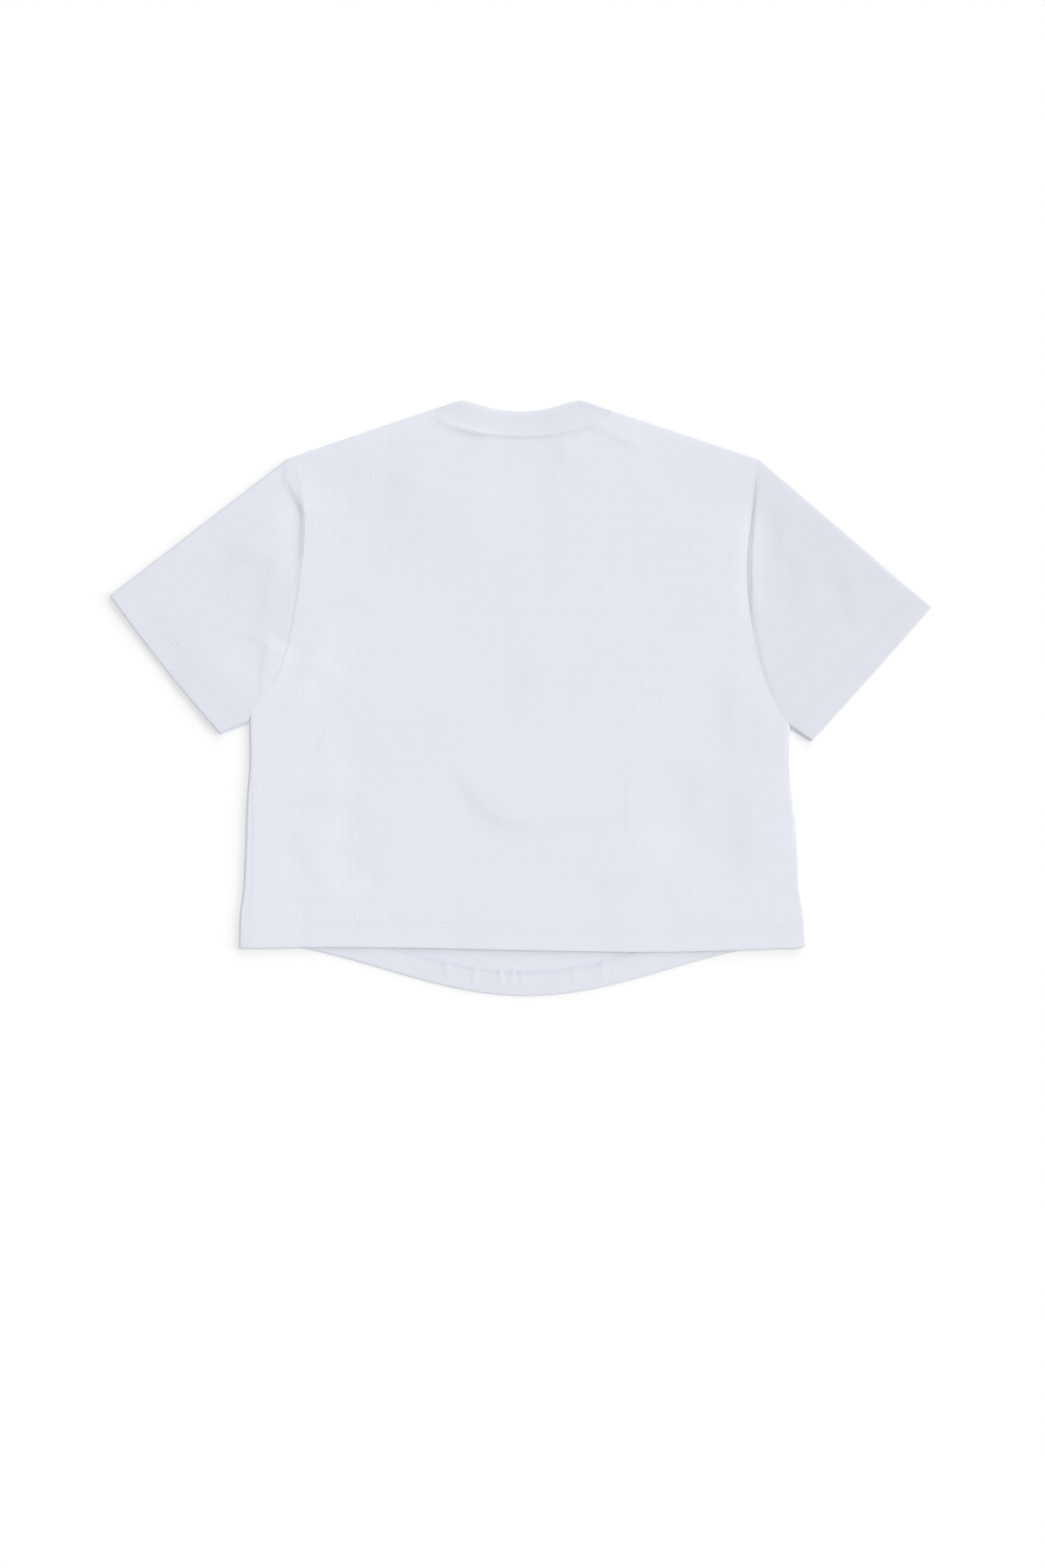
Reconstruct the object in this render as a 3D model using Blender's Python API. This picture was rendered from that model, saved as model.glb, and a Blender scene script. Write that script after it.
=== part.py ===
"""Cropped crew-neck t-shirt of heavy white cotton jersey, laid flat on its front.

Metres. The table is z = 0, +Y runs from hem to neck, and the back of the shirt faces up.
Each panel starts as a flat pattern. What lies beyond a rim line rolls round it, up from
the lower layer or down from the upper one, and every hem is its own cloth turned up inside.
"""

import math
from collections import namedtuple

import bmesh
import bpy
import numpy as np

# Cloth
CLOTH = 0.0012  # one layer of heavy jersey
RIB = 0.0022  # neck band: rib folded double and pressed
GAP = 0.0003  # between layers, and across a seam
ROLL = 0.0030  # outer radius where the flat shirt turns from front to back
TURN = CLOTH + GAP / 2  # outer radius of a turned hem
EDGE_TOP = 2 * ROLL  # height of the shirt at its rims
QUARTER = math.pi * ROLL / 2  # cloth that a quarter of a roll takes up
SEAM = QUARTER - GAP / 2  # where a panel ends, halfway up the roll
NECK_GAP = 1.3 * GAP  # measured along the pattern, where the neck seam bends
SLEEVE_GAP = 2.0 * GAP  # measured along the sleeve, which meets its seam at a slant

# Cut
HEM_BAND = 0.024  # turned-up hem of front, back and sleeves
NECK_HALF = 0.0882  # half the neck opening, at the shoulder seams
NECK_Y = 0.2847
NECK_X = 0.00125
BACK_DROP = 0.0267  # depth of the back neck seam below the shoulder points
FRONT_DROP = 0.095  # and of the front one
SHOULDER_COS = 0.95  # of the shoulder line's slope
PEAK_HALF = 0.0612  # half the collar's free edge, where it folds
PEAK_Y = 0.2941
PEAK_X = 0.0010
BACK_FREE_DIP = 0.0114  # how far the free edge dips below its folds
FRONT_FREE_DIP = 0.0790
FRONT_HEM_LOW = -0.2933  # lowest point of the scooped front hem
FRONT_HEM_RISE = 0.026
FRONT_HEM_HALF = 0.278
FRONT_HEM_X = 0.006
CORNER_DIP = 0.005  # how far the front hem drops again at its corners
CORNER_START = 0.272
CORNER_RUN = 0.018
FRONT_SCOOP = 0.008  # how much deeper the front armhole is cut than the back one
SEAM_SHIFT = 0.0112  # how far the left side seam has slipped on to the back at the hem

# Heights of the upper layer's outer face
LOW = 0.0029  # where it lies on the front
HEM_TOP = 0.0044  # over the back's own turned hem
STACK_TOP = 0.00585  # over both turned hems, and at the cuffs
HEM_CLEAR = 0.005  # it stays up this far past a turned hem
HEM_SLOPE = 0.020  # and takes this far to come down
CROSSING_START = 0.068  # from here out the front's turned hem lies under the back's
CROSSING_RUN = 0.030
NECK_TOP = 0.0041  # over the front of the neck band
NECK_FOLD_TOP = 0.0049  # over the band nearer its folds
NECK_FOLD_START = 0.015
NECK_FOLD_RUN = 0.030
NECK_CLEAR = 1.10  # it stays up to this many times the neck seam's size
NECK_SLOPE = 0.32  # and takes this many to come down
SEAM_TOP = 0.0032  # in the groove of an armhole seam
GROOVE_WIDTH = 0.0045
RIDGE = 0.0016  # swell of cloth beside that groove
RIDGE_AWAY = 0.010
RIDGE_WIDTH = 0.012
SIDE_RAISED = 0.050  # how far in from each kind of rim the layer is held up
SHOULDER_RAISED = 0.022
SLEEVE_TOP_RAISED = 0.024
SLEEVE_FOOT_RAISED = 0.020

UNDERARM_AT = 0.458  # share of the panel's height at the underarm
SIDE_SPREAD = 0.26  # share of a panel's width that its armhole draws in
TUCK = 0.043  # share of the armhole that runs round the rim at the underarm
UNDERARM_RUN = 0.014  # how far up past the underarm a side's rim line runs on

SideRow = namedtuple("SideRow", "share left right")
SIDE = (  # outline below the underarm: share of the way up from the hem, x of each side
    SideRow(0.00, -0.2778, 0.2812),
    SideRow(0.15, -0.2766, 0.2793),
    SideRow(0.25, -0.2737, 0.2756),
    SideRow(0.40, -0.2719, 0.2742),
    SideRow(0.55, -0.2708, 0.2724),
    SideRow(0.65, -0.2700, 0.2696),
    SideRow(0.80, -0.2675, 0.2662),
    SideRow(1.00, -0.2675, 0.2657),
)
ARMHOLE = (  # back armhole: share of the way from the underarm to the shoulder tip
    SideRow(0.00, -0.2675, 0.2657),
    SideRow(0.05, -0.2630, 0.2572),
    SideRow(0.10, -0.2524, 0.2499),
    SideRow(0.16, -0.2418, 0.2429),
    SideRow(0.24, -0.2330, 0.2356),
    SideRow(0.34, -0.2265, 0.2297),
    SideRow(0.45, -0.2213, 0.2257),
    SideRow(0.57, -0.2166, 0.2232),
    SideRow(0.69, -0.2137, 0.2247),
    SideRow(0.76, -0.2133, 0.2272),
    SideRow(0.85, -0.2155, 0.2298),
    SideRow(0.92, -0.2190, 0.2314),
    SideRow(1.00, -0.2296, 0.2352),
)
SlipRow = namedtuple("SlipRow", "share slip")
SLIP = (  # share of SEAM_SHIFT that the left side seam has slipped, from hem to underarm
    SlipRow(0.0, 1.0),
    SlipRow(0.5, 0.75),
    SlipRow(0.8, 0.45),
    SlipRow(1.0, 0.0),
)
HemRow = namedtuple("HemRow", "x y")
BACK_HEM = (
    HemRow(-0.2690, -0.2465),
    HemRow(-0.2000, -0.2456),
    HemRow(-0.1200, -0.2460),
    HemRow(0.0200, -0.2490),
    HemRow(0.1400, -0.2502),
    HemRow(0.1900, -0.2492),
    HemRow(0.2550, -0.2464),
    HemRow(0.2780, -0.2448),
    HemRow(0.2840, -0.2417),
)
Half = namedtuple("Half", "name sign hem underarm tip neck cuff_top cuff_foot bow tuck")
HALVES = (
    Half("left", -1, (-0.2778, -0.2450), (-0.2675, -0.0232), (-0.2296, 0.2365), (-0.0870, 0.2847),
         (-0.4051, 0.1015), (-0.2967, -0.0353), 0.0024, TUCK),
    Half("right", 1, (0.2812, -0.2442), (0.2657, -0.0292), (0.2348, 0.2365), (0.0895, 0.2847),
         (0.4051, 0.0912), (0.2864, -0.0421), 0.0008, 0.020),
)
LEFT, RIGHT = HALVES
Fold = namedtuple("Fold", "name x y turn length width rise")
FOLDS = (  # broad soft folds of the back and the sleeves; turn is the angle of the crest from +X
    Fold("left underarm", -0.215, 0.016, 57, 0.050, 0.013, 0.0013),
    Fold("left chest", -0.175, 0.094, 5, 0.050, 0.013, 0.0008),
    Fold("waist left", -0.110, -0.086, 12, 0.060, 0.016, 0.0009),
    Fold("waist middle", -0.046, -0.104, -45, 0.045, 0.014, 0.0009),
    Fold("waist right", 0.040, -0.120, -2, 0.070, 0.015, 0.0007),
    Fold("low left", -0.196, -0.135, 84, 0.060, 0.016, 0.0013),
    Fold("above hem left", -0.190, -0.190, -4, 0.060, 0.014, 0.0010),
    Fold("right flank", 0.205, -0.035, 62, 0.060, 0.022, 0.0009),
    Fold("neck left", -0.098, 0.232, 62, 0.045, 0.015, 0.0010),
    Fold("neck right", 0.105, 0.238, -55, 0.040, 0.015, 0.0009),
    Fold("left sleeve", -0.262, 0.150, 58, 0.075, 0.014, 0.0012),
    Fold("left sleeve low", -0.258, 0.040, 80, 0.045, 0.011, 0.0012),
    Fold("right sleeve", 0.249, 0.150, -80, 0.085, 0.012, 0.0014),
    Fold("right sleeve low", 0.285, 0.035, 48, 0.060, 0.015, 0.0010),
)

# How finely the pieces are divided
ROLL_STEPS = 3
TURN_STEPS = 5
HEM_ROWS = (0.0, 0.008, 0.016, 0.0245)  # above the hem's fold line
SIDE_SHARES = (0.145, 0.18, 0.26, 0.36, 0.46, 0.56, 0.66, 0.76, 0.86, 0.94)
ARM_SHARES = (0.10, 0.17, 0.25, 0.34, 0.44, 0.54, 0.64, 0.74, 0.83, 0.91)
EDGE_COLUMNS = 3  # columns that a rolled side edge takes
SLIPPED_COLUMNS = 6  # and the front's left one, which runs on past the rim
RIDGE_COLUMN = 0.0105  # one more column, this far in from the last of them
TALL = 0.48  # about a panel's height, which places its edge columns near hem and shoulder
SHOULDER_COLUMNS = 5
NECK_ANGLES = (22, 44, 67, 90, 113, 136, 158)
SHORTEST = 0.8  # a sleeve's turned hem reaches at most this share of the way to the armhole
SLEEVE_SHARES = (0.0, 0.03, 0.08, 0.2, 0.36, 0.54, 0.72, 0.88)
COLLAR_ROWS = 4
WELD = 1e-6

WHITE_JERSEY = (0.78, 0.80, 0.87, 1.0)
WHITE_RIB = (0.76, 0.78, 0.85, 1.0)
JERSEY_ROUGHNESS = 0.9


def smooth(t):
    t = np.clip(t, 0.0, 1.0)
    return t * t * (3 - 2 * t)


def through(knots, values, at):
    """A smooth curve through the rows of a table."""
    knots, values, at = (np.asarray(part, float) for part in (knots, values, at))
    slopes = np.gradient(values, knots)
    span = np.clip(np.searchsorted(knots, at) - 1, 0, len(knots) - 2)
    width = knots[span + 1] - knots[span]
    t = np.clip((at - knots[span]) / width, 0, 1)
    start = values[span] * (1 + 2 * t) + slopes[span] * width * t
    end = values[span + 1] * (3 - 2 * t) - slopes[span + 1] * width * (1 - t)
    return start * (1 - t) ** 2 + end * t * t


def column(table, name):
    return [getattr(row, name) for row in table]


def lerp(a, b, t):
    return a + (b - a) * t


def unit(vector):
    return np.asarray(vector) / np.linalg.norm(vector)


def shoulder_out(half):
    """The way out across the shoulder line, in plan."""
    run = np.subtract(half.neck, half.tip)
    return unit((-run[1] * -half.sign, run[0] * -half.sign))


def front_hem(x):
    away = np.clip(np.abs(x - FRONT_HEM_X), 0, FRONT_HEM_HALF)
    rise = FRONT_HEM_RISE * (1 - np.cos(math.pi * away / FRONT_HEM_HALF))
    corner = smooth((np.abs(x - FRONT_HEM_X) - CORNER_START) / CORNER_RUN)
    return FRONT_HEM_LOW + rise - CORNER_DIP * corner


def back_hem(x):
    return through(column(BACK_HEM, "x"), column(BACK_HEM, "y"), x)


def rim_x(half, y):
    """The rim line of a side: where its lower layer leaves the table."""
    share = (np.asarray(y) - half.hem[1]) / (half.underarm[1] - half.hem[1])
    outline = through(column(SIDE, "share"), column(SIDE, half.name), share)
    return outline - half.sign * ROLL


def slip(half, share):
    if half is RIGHT:
        return np.zeros_like(share)
    return SEAM_SHIFT * through(column(SLIP, "share"), column(SLIP, "slip"), share)


def side_reach(half, upper, share):
    """How far a panel runs past the rim line of its side."""
    return SEAM - slip(half, share) if upper else SEAM + slip(half, share)


# Height of the upper layer


def distance(x, y, start, end):
    """From each point to a straight line between two points."""
    start, end = np.asarray(start), np.asarray(end)
    run = end - start
    along = ((x - start[0]) * run[0] + (y - start[1]) * run[1]) / run.dot(run)
    along = np.clip(along, 0, 1)
    return np.hypot(x - start[0] - run[0] * along, y - start[1] - run[1] * along)


def rims():
    """Rim lines in plan, each with how far in from it the cloth stays raised."""
    lines = []
    for half in HALVES:
        levels = [lerp(half.hem[1], half.underarm[1], row.share) for row in SIDE]
        points = [(float(rim_x(half, y)), y) for y in levels]
        lines += [(a, b, SIDE_RAISED) for a, b in zip(points, points[1:])]
        peak = (PEAK_X + half.sign * PEAK_HALF, PEAK_Y)
        spans = (
            (shoulder_out(half), half.tip, peak, SHOULDER_RAISED),
            (sleeve_out(half, True), half.tip, half.cuff_top, SLEEVE_TOP_RAISED),
            (sleeve_out(half, False), half.underarm, half.cuff_foot, SLEEVE_FOOT_RAISED),
        )
        lines += [(start - ROLL * out, end - ROLL * out, raised) for out, start, end, raised in spans]
    return lines


def sleeve_out(half, top):
    """The way out across the sleeve's top or underarm edge, in plan."""
    if top:
        run = np.subtract(half.cuff_top, half.tip)
        return unit((abs(run[1]) * half.sign, abs(run[0])))
    run = np.subtract(half.cuff_foot, half.underarm)
    return unit((-abs(run[1]) * half.sign, -abs(run[0])))


def rim_raise(x, y):
    raised = np.zeros_like(x)
    for start, end, reach in rims():
        raised = np.maximum(raised, smooth(1 - distance(x, y, start, end) / reach))
    return raised


def armhole_distance(x, y):
    away = np.full_like(x, 1.0)
    for half in HALVES:
        points = [armhole(half, share) for share in np.linspace(0, 1, 25)]
        for start, end in zip(points, points[1:]):
            away = np.minimum(away, distance(x, y, start, end))
    return away


def stacked(x, y):
    """Height that the turned hems and the neck band below need."""
    crossing = smooth((np.abs(x - FRONT_HEM_X) - CROSSING_START) / CROSSING_RUN)
    past = np.abs(y - back_hem(x)) - HEM_BAND - HEM_CLEAR
    need = lerp(LOW, lerp(HEM_TOP, STACK_TOP, crossing), smooth(1 - past / HEM_SLOPE))
    ring = np.hypot((x - NECK_X) / NECK_HALF, (y - NECK_Y) / FRONT_DROP)
    fold = smooth((np.abs(x) - NECK_FOLD_START) / NECK_FOLD_RUN)
    over_neck = smooth(1 - (ring - NECK_CLEAR) / NECK_SLOPE)
    need = np.maximum(need, lerp(LOW, lerp(NECK_TOP, NECK_FOLD_TOP, fold), over_neck))
    for half in HALVES:
        past = distance(x, y, half.cuff_top, half.cuff_foot) - HEM_BAND - HEM_CLEAR
        need = np.maximum(need, lerp(LOW, STACK_TOP, smooth(1 - past / HEM_SLOPE)))
    return need


def folds(x, y):
    rise = np.zeros_like(x)
    for fold in FOLDS:
        turn = math.radians(fold.turn)
        along = (x - fold.x) * math.cos(turn) + (y - fold.y) * math.sin(turn)
        across = (y - fold.y) * math.cos(turn) - (x - fold.x) * math.sin(turn)
        rise += fold.rise * np.exp(-((across / fold.width) ** 2) - (along / fold.length) ** 4)
    return rise


def upper(x, y):
    """Height of the upper layer's outer face."""
    raised, need = rim_raise(x, y), stacked(x, y)
    away = armhole_distance(x, y)
    free = 1 - raised
    top = np.maximum(lerp(LOW, EDGE_TOP, raised), need)
    ridge = RIDGE * np.exp(-(((away - RIDGE_AWAY) / RIDGE_WIDTH) ** 2))
    top = top + free * (folds(x, y) + ridge)
    groove = free * np.exp(-((away / GROOVE_WIDTH) ** 2))
    return lerp(top, np.maximum(SEAM_TOP, np.minimum(need, top)), groove)


# Flat patterns


def armhole(half, share, front=False):
    """A point of the armhole's pattern line."""
    share = np.asarray(share, float)
    local = np.interp(share, (0, TUCK, 1), (0, half.tuck, 1))
    tip = np.add(half.tip, (SEAM - ROLL) * shoulder_out(half))
    y = lerp(half.underarm[1], tip[1], local)
    x = through(column(ARMHOLE, "share"), column(ARMHOLE, half.name), local)
    if front:
        x = x - half.sign * FRONT_SCOOP * np.sin(math.pi * local) ** 2
    rim = rim_x(half, np.full_like(y, half.underarm[1]))
    tucked = rim + half.sign * SEAM * (1 - share / TUCK)
    return np.stack([np.where(share < TUCK, tucked, x), y], axis=-1)


def hem_of(upper_layer, x):
    return back_hem(x) if upper_layer else front_hem(x)


def side_edge(half, upper_layer, share):
    """A point of the side seam's pattern line, from the hem (0) to the underarm (1)."""
    foot_x = rim_x(half, half.hem[1]) + half.sign * side_reach(half, upper_layer, 0.0)
    y = lerp(hem_of(upper_layer, foot_x), half.underarm[1], share)
    return np.stack([rim_x(half, y) + half.sign * side_reach(half, upper_layer, share), y], axis=-1)


def edge(half, upper_layer, v):
    """Left or right edge of a panel's pattern: side seam, then armhole."""
    below = side_edge(half, upper_layer, np.clip(v / UNDERARM_AT, 0, 1))
    above = armhole(half, np.clip((v - UNDERARM_AT) / (1 - UNDERARM_AT), 0, 1), not upper_layer)
    return np.where((v <= UNDERARM_AT)[..., None], below, above)


def neck_seam(angle, drop, out=0.0):
    """The neck seam's pattern line, from the left shoulder (0) to the right one (pi)."""
    rise = (SEAM - ROLL) * SHOULDER_COS
    x = NECK_X - (NECK_HALF + out) * np.cos(angle)
    return np.stack([x, NECK_Y + rise - (drop + rise + out) * np.sin(angle)], axis=-1)


def free_edge(angle, upper_layer):
    """The collar's free edge, from fold to fold."""
    rise = (SEAM - ROLL) * SHOULDER_COS
    x = PEAK_X - PEAK_HALF * np.cos(angle)
    if upper_layer:
        dip = (BACK_FREE_DIP + rise) * np.sin(math.pi / 2 * (1 - np.abs(np.cos(angle))))
    else:
        dip = (FRONT_FREE_DIP + rise) * np.sin(angle)
    return np.stack([x, PEAK_Y + rise - dip], axis=-1)


def neck_angles(drop):
    """Angles of the panel's and the collar's shared columns, close together at the folds."""
    steps = [math.asin(QUARTER * k / ROLL_STEPS / drop) for k in range(ROLL_STEPS + 1)]
    middle = [math.radians(angle) for angle in NECK_ANGLES]
    return np.array(steps + middle + [math.pi - step for step in reversed(steps)])


def top_line(upper_layer):
    """Shoulder, neck and shoulder of a panel's pattern, with the share of that line at each."""
    drop = BACK_DROP if upper_layer else FRONT_DROP
    angles = neck_angles(drop)
    neck = neck_seam(angles, drop, NECK_GAP)
    tips = [np.add(half.tip, (SEAM - ROLL) * shoulder_out(half)) for half in HALVES]
    steps = np.linspace(0, 1, SHOULDER_COLUMNS + 1)[:, None]
    left = lerp(tips[0], neck[0], steps)[:-1]
    right = lerp(neck[-1], tips[1], steps)[1:]
    points = np.concatenate([left, neck, right])
    run = np.cumsum(np.linalg.norm(np.diff(points, axis=0), axis=1))
    return points, np.concatenate([[0.0], run / run[-1]])


def patch(u, v, upper_layer):
    """A panel's pattern: the surface spanned between its four edges."""
    tops, at = top_line(upper_layer)
    top = np.stack([np.interp(u, at, tops[:, k]) for k in (0, 1)], axis=-1)
    sides = [edge(half, upper_layer, v) for half in HALVES]
    corners = [edge(half, upper_layer, np.zeros(1))[0] for half in HALVES]
    hem_x = lerp(corners[0][0], corners[1][0], u)
    hem = np.stack([hem_x, hem_of(upper_layer, hem_x)], axis=-1)
    u, v = u[..., None], v[..., None]
    left = sides[0] - lerp(corners[0], tops[0], v)
    right = sides[1] - lerp(corners[1], tops[-1], v)
    spread = smooth(1 - u / SIDE_SPREAD), smooth(1 - (1 - u) / SIDE_SPREAD)
    return lerp(hem, top, v) + spread[0] * left + spread[1] * right


def heights(u, upper_layer):
    """Height of a panel's pattern along each column."""
    tops, at = top_line(upper_layer)
    ends = [edge(half, upper_layer, np.zeros(1))[0][0] for half in HALVES]
    return np.interp(u, at, tops[:, 1]) - hem_of(upper_layer, lerp(ends[0], ends[1], u))


def edge_offsets(half, upper_layer, v):
    """How far in from a panel's edge its close columns lie, at one row."""
    reach = float(side_reach(half, upper_layer, min(v / UNDERARM_AT, 1.0)))
    if upper_layer or half is RIGHT:
        offsets = [SEAM * k / EDGE_COLUMNS for k in range(EDGE_COLUMNS + 1)]
    else:
        last = SLIPPED_COLUMNS
        plain = [reach * k / last for k in range(last + 1)]
        rolled = [0.0] + [reach - 2 * QUARTER * (1 - (k - 1) / (last - 1)) for k in range(1, last + 1)]
        weight = float(smooth((reach - SEAM) / SEAM_SHIFT))
        offsets = [lerp(a, b, weight) for a, b in zip(plain, rolled)]
    return offsets + [offsets[-1] + RIDGE_COLUMN]


def pattern(upper_layer):
    """Pattern points of a panel, row by row from the hem's fold line to the top edge."""
    _, at = top_line(upper_layer)
    arm = 1 - UNDERARM_AT
    middle = [share * UNDERARM_AT for share in SIDE_SHARES]
    middle += [UNDERARM_AT + arm * TUCK * k / ROLL_STEPS for k in range(ROLL_STEPS + 1)]
    middle += [UNDERARM_AT + arm * share for share in ARM_SHARES]
    rows = [("up", TURN + above) for above in HEM_ROWS]
    rows += [("share", v) for v in middle]
    rows += [("down", QUARTER * (1 - k / ROLL_STEPS)) for k in range(ROLL_STEPS + 1)]
    grid_u, grid_v = [], []
    for kind, value in rows:
        v = {"up": value / TALL, "share": value, "down": 1 - value / TALL}[kind]
        sides = [edge(half, upper_layer, np.array([v]))[0] for half in HALVES]
        width = sides[1][0] - sides[0][0]
        left = [offset / width for offset in edge_offsets(LEFT, upper_layer, v)]
        right = [1 - offset / width for offset in edge_offsets(RIGHT, upper_layer, v)]
        u = np.array(left + list(at[1:-1]) + right[::-1])
        tall = heights(u, upper_layer)
        grid_u.append(u)
        grid_v.append({"up": value / tall, "share": np.full_like(u, value), "down": 1 - value / tall}[kind])
    return patch(np.array(grid_u), np.array(grid_v), upper_layer)


# From pattern to cloth


def past_rim(x, y):
    """How far each pattern point lies past its nearest rim line, and the way out there."""
    reach = np.full(x.shape, -1.0)
    out = np.zeros(x.shape + (2,))
    for half in HALVES:
        side = np.where(y < half.underarm[1] + UNDERARM_RUN, half.sign * (x - rim_x(half, y)), -1.0)
        normal = shoulder_out(half)
        line = (x - half.tip[0]) * normal[0] + (y - half.tip[1]) * normal[1] + ROLL
        line = np.where(half.sign * x > 0, line, -1.0)
        for found, way in ((side, (half.sign, 0.0)), (line, normal)):
            nearer = found > reach
            reach = np.where(nearer, found, reach)
            out[nearer] = way
    return reach, out


def lay(points, upper_layer, depth=0.0):
    """Rolls pattern points into place; depth is how far inside the outer face they lie."""
    x, y = points[..., 0], points[..., 1]
    reach, out = past_rim(x, y)
    turned = np.clip(reach, 0, 2 * QUARTER)
    angle = turned / ROLL
    on = np.maximum(reach - 2 * QUARTER, 0)
    radius = ROLL - depth
    shift = np.where(reach > 0, radius * np.sin(angle) - turned - 2 * on, 0.0)
    plan = points + out * shift[..., None]
    climb = depth + radius * (1 - np.cos(angle))
    top = upper(plan[..., 0], plan[..., 1])
    if upper_layer:
        z = np.where(reach > 0, EDGE_TOP - climb, top - depth)
    else:
        z = np.where(reach > 2 * QUARTER, top - depth, climb)
        z = np.where(reach > 0, z, depth)
    return np.concatenate([plan, z[..., None]], axis=-1)


def with_hem(points, upper_layer, inside=0.0):
    """Laid rows of a panel, with its hem folded under and turned up inside.

    inside is 0 for the cloth's outer face and CLOTH for its inner one.
    """
    turned = [lay(row, upper_layer, 2 * TURN - inside) for row in points[: len(HEM_ROWS)][::-1]]
    fold = []
    for step in range(1, TURN_STEPS):
        angle = math.pi * (1 - step / TURN_STEPS)
        row = points[0] - (0, (TURN - inside) * math.sin(angle))
        fold.append(lay(row, upper_layer, TURN - (TURN - inside) * math.cos(angle)))
    outer = [lay(row, upper_layer, inside) for row in points]
    return np.array(turned + fold + outer)


def armhole_ring(half, lower_rows, upper_rows):
    """Closed line of armhole points: down the front's edge, then up the back's."""
    side = 0 if half is LEFT else -1
    first = len(HEM_ROWS) + len(SIDE_SHARES)
    down = lower_rows[first:, side][::-1]
    up = upper_rows[first:, side]
    return down, up[1:-1]


def sleeve(half, lower_rows, upper_rows, inside=0.0):
    """Rows of a sleeve from the end of its turned hem to the armhole, as closed rings."""
    down, up = armhole_ring(half, lower_rows, upper_rows)
    count = len(down)
    steps = ROLL_STEPS
    top_out, foot_out = sleeve_out(half, True), sleeve_out(half, False)
    cuff_top = half.cuff_top - ROLL * top_out
    cuff_foot = half.cuff_foot - ROLL * foot_out
    cuff_out = unit((cuff_top - cuff_foot)[::-1] * (half.sign, -half.sign))
    ends, inward, flat = [], [], []
    for rising, points in ((False, down), (True, up)):
        order = range(count) if not rising else range(count - 2, 0, -1)
        for k in order:
            share = np.clip((k - steps) / (count - 1 - 2 * steps), 0, 1)
            near_top, near_foot = max(steps - k, 0), max(k - (count - 1 - steps), 0)
            angle = math.pi / 2 * (near_top + near_foot) / steps
            out = top_out if near_top else foot_out
            plan = lerp(cuff_top, cuff_foot, share) + half.bow * math.sin(math.pi * share) * cuff_out
            plan = plan + ROLL * math.sin(angle) * out
            climb = ROLL * (1 - math.cos(angle))
            ends.append((*plan, EDGE_TOP - climb if rising else climb))
            face = -1 if rising else 1
            inward.append((*(-math.sin(angle) * out), face * math.cos(angle)))
            flat.append(rising and not near_top and not near_foot)
    starts = np.concatenate([down, up])
    ends, inward, flat = np.array(ends), np.array(inward), np.array(flat)
    run = ends - starts
    length = np.linalg.norm(run[:, :2], axis=1)
    starts = starts + run * (SLEEVE_GAP / length)[:, None] * (1, 1, 0)

    def ring(back, depth=0.0, past=0.0):
        """The ring this far back from the cuff, and this deep inside the outer face."""
        share = (1 - back / length)[:, None]
        points = lerp(starts, ends, share)
        level = upper(points[:, 0], points[:, 1])
        points[:, 2] = np.where(flat & (share[:, 0] > 0), level, points[:, 2])
        points[:, :2] += past * (run / length[:, None])[:, :2]
        return points + inward * depth

    band = [np.minimum(TURN + above, SHORTEST * length) for above in HEM_ROWS]
    turned = [ring(back, 2 * TURN - inside) for back in band[::-1]]
    fold, radius = [], TURN - inside
    for step in range(1, TURN_STEPS):
        angle = math.pi * (1 - step / TURN_STEPS)
        fold.append(ring(band[0], TURN - radius * math.cos(angle), radius * math.sin(angle)))
    inner = [lerp(length, band[-1], share) for share in SLEEVE_SHARES]
    return np.array(turned + fold + [ring(back, inside) for back in band + inner[::-1]])


def collar(inside=0.0):
    """Rows of the neck band from the seam to its free edge, as closed rings."""
    rows = []
    for step in range(COLLAR_ROWS + 1):
        ring = []
        for upper_layer, drop in ((True, BACK_DROP), (False, FRONT_DROP)):
            angles = neck_angles(drop)
            points = lerp(neck_seam(angles, drop), free_edge(angles, upper_layer), step / COLLAR_ROWS)
            laid = lay(points, upper_layer, inside)
            ring.append(laid if upper_layer else laid[::-1][1:-1])
        rows.append(np.concatenate(ring))
    return np.array(rows)


# Blender objects


def jersey(name, colour):
    material = bpy.data.materials.new(name)
    material.use_nodes = True
    shader = material.node_tree.nodes["Principled BSDF"]
    shader.inputs["Base Color"].default_value = colour
    shader.inputs["Roughness"].default_value = JERSEY_ROUGHNESS
    shader.inputs["Metallic"].default_value = 0.0
    return material


def add_grid(mesh, rows):
    """A grid of faces through rows of points; returns its vertices."""
    across, along = rows.shape[1] - 1, rows.shape[0] - 1
    made = bmesh.ops.create_grid(mesh, x_segments=across, y_segments=along, size=1.0)["verts"]
    for vert in made:
        i = round((vert.co.x + 1) / 2 * across)
        j = round((vert.co.y + 1) / 2 * along)
        vert.co = rows[j, i]
    return made


def cloth_object(name, outer, inner, material, collection, closed=False):
    """One piece of cloth between its outer and inner faces; a closed one joins round."""
    wall = bmesh.new()
    if closed:
        rows = np.concatenate([outer, inner[::-1], outer[:1]])
        add_grid(wall, np.concatenate([rows, rows[:, :1]], axis=1))
        bmesh.ops.remove_doubles(wall, verts=wall.verts, dist=WELD)
    else:
        add_grid(wall, outer)
        add_grid(wall, inner)
        open_edges = [edge for edge in wall.edges if edge.is_boundary]
        bmesh.ops.bridge_loops(wall, edges=open_edges)
    bmesh.ops.recalc_face_normals(wall, faces=wall.faces)
    for face in wall.faces:
        face.smooth = True
    mesh = bpy.data.meshes.new(name)
    wall.to_mesh(mesh)
    wall.free()
    mesh.materials.append(material)
    piece = bpy.data.objects.new(name, mesh)
    collection.objects.link(piece)
    return piece


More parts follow.
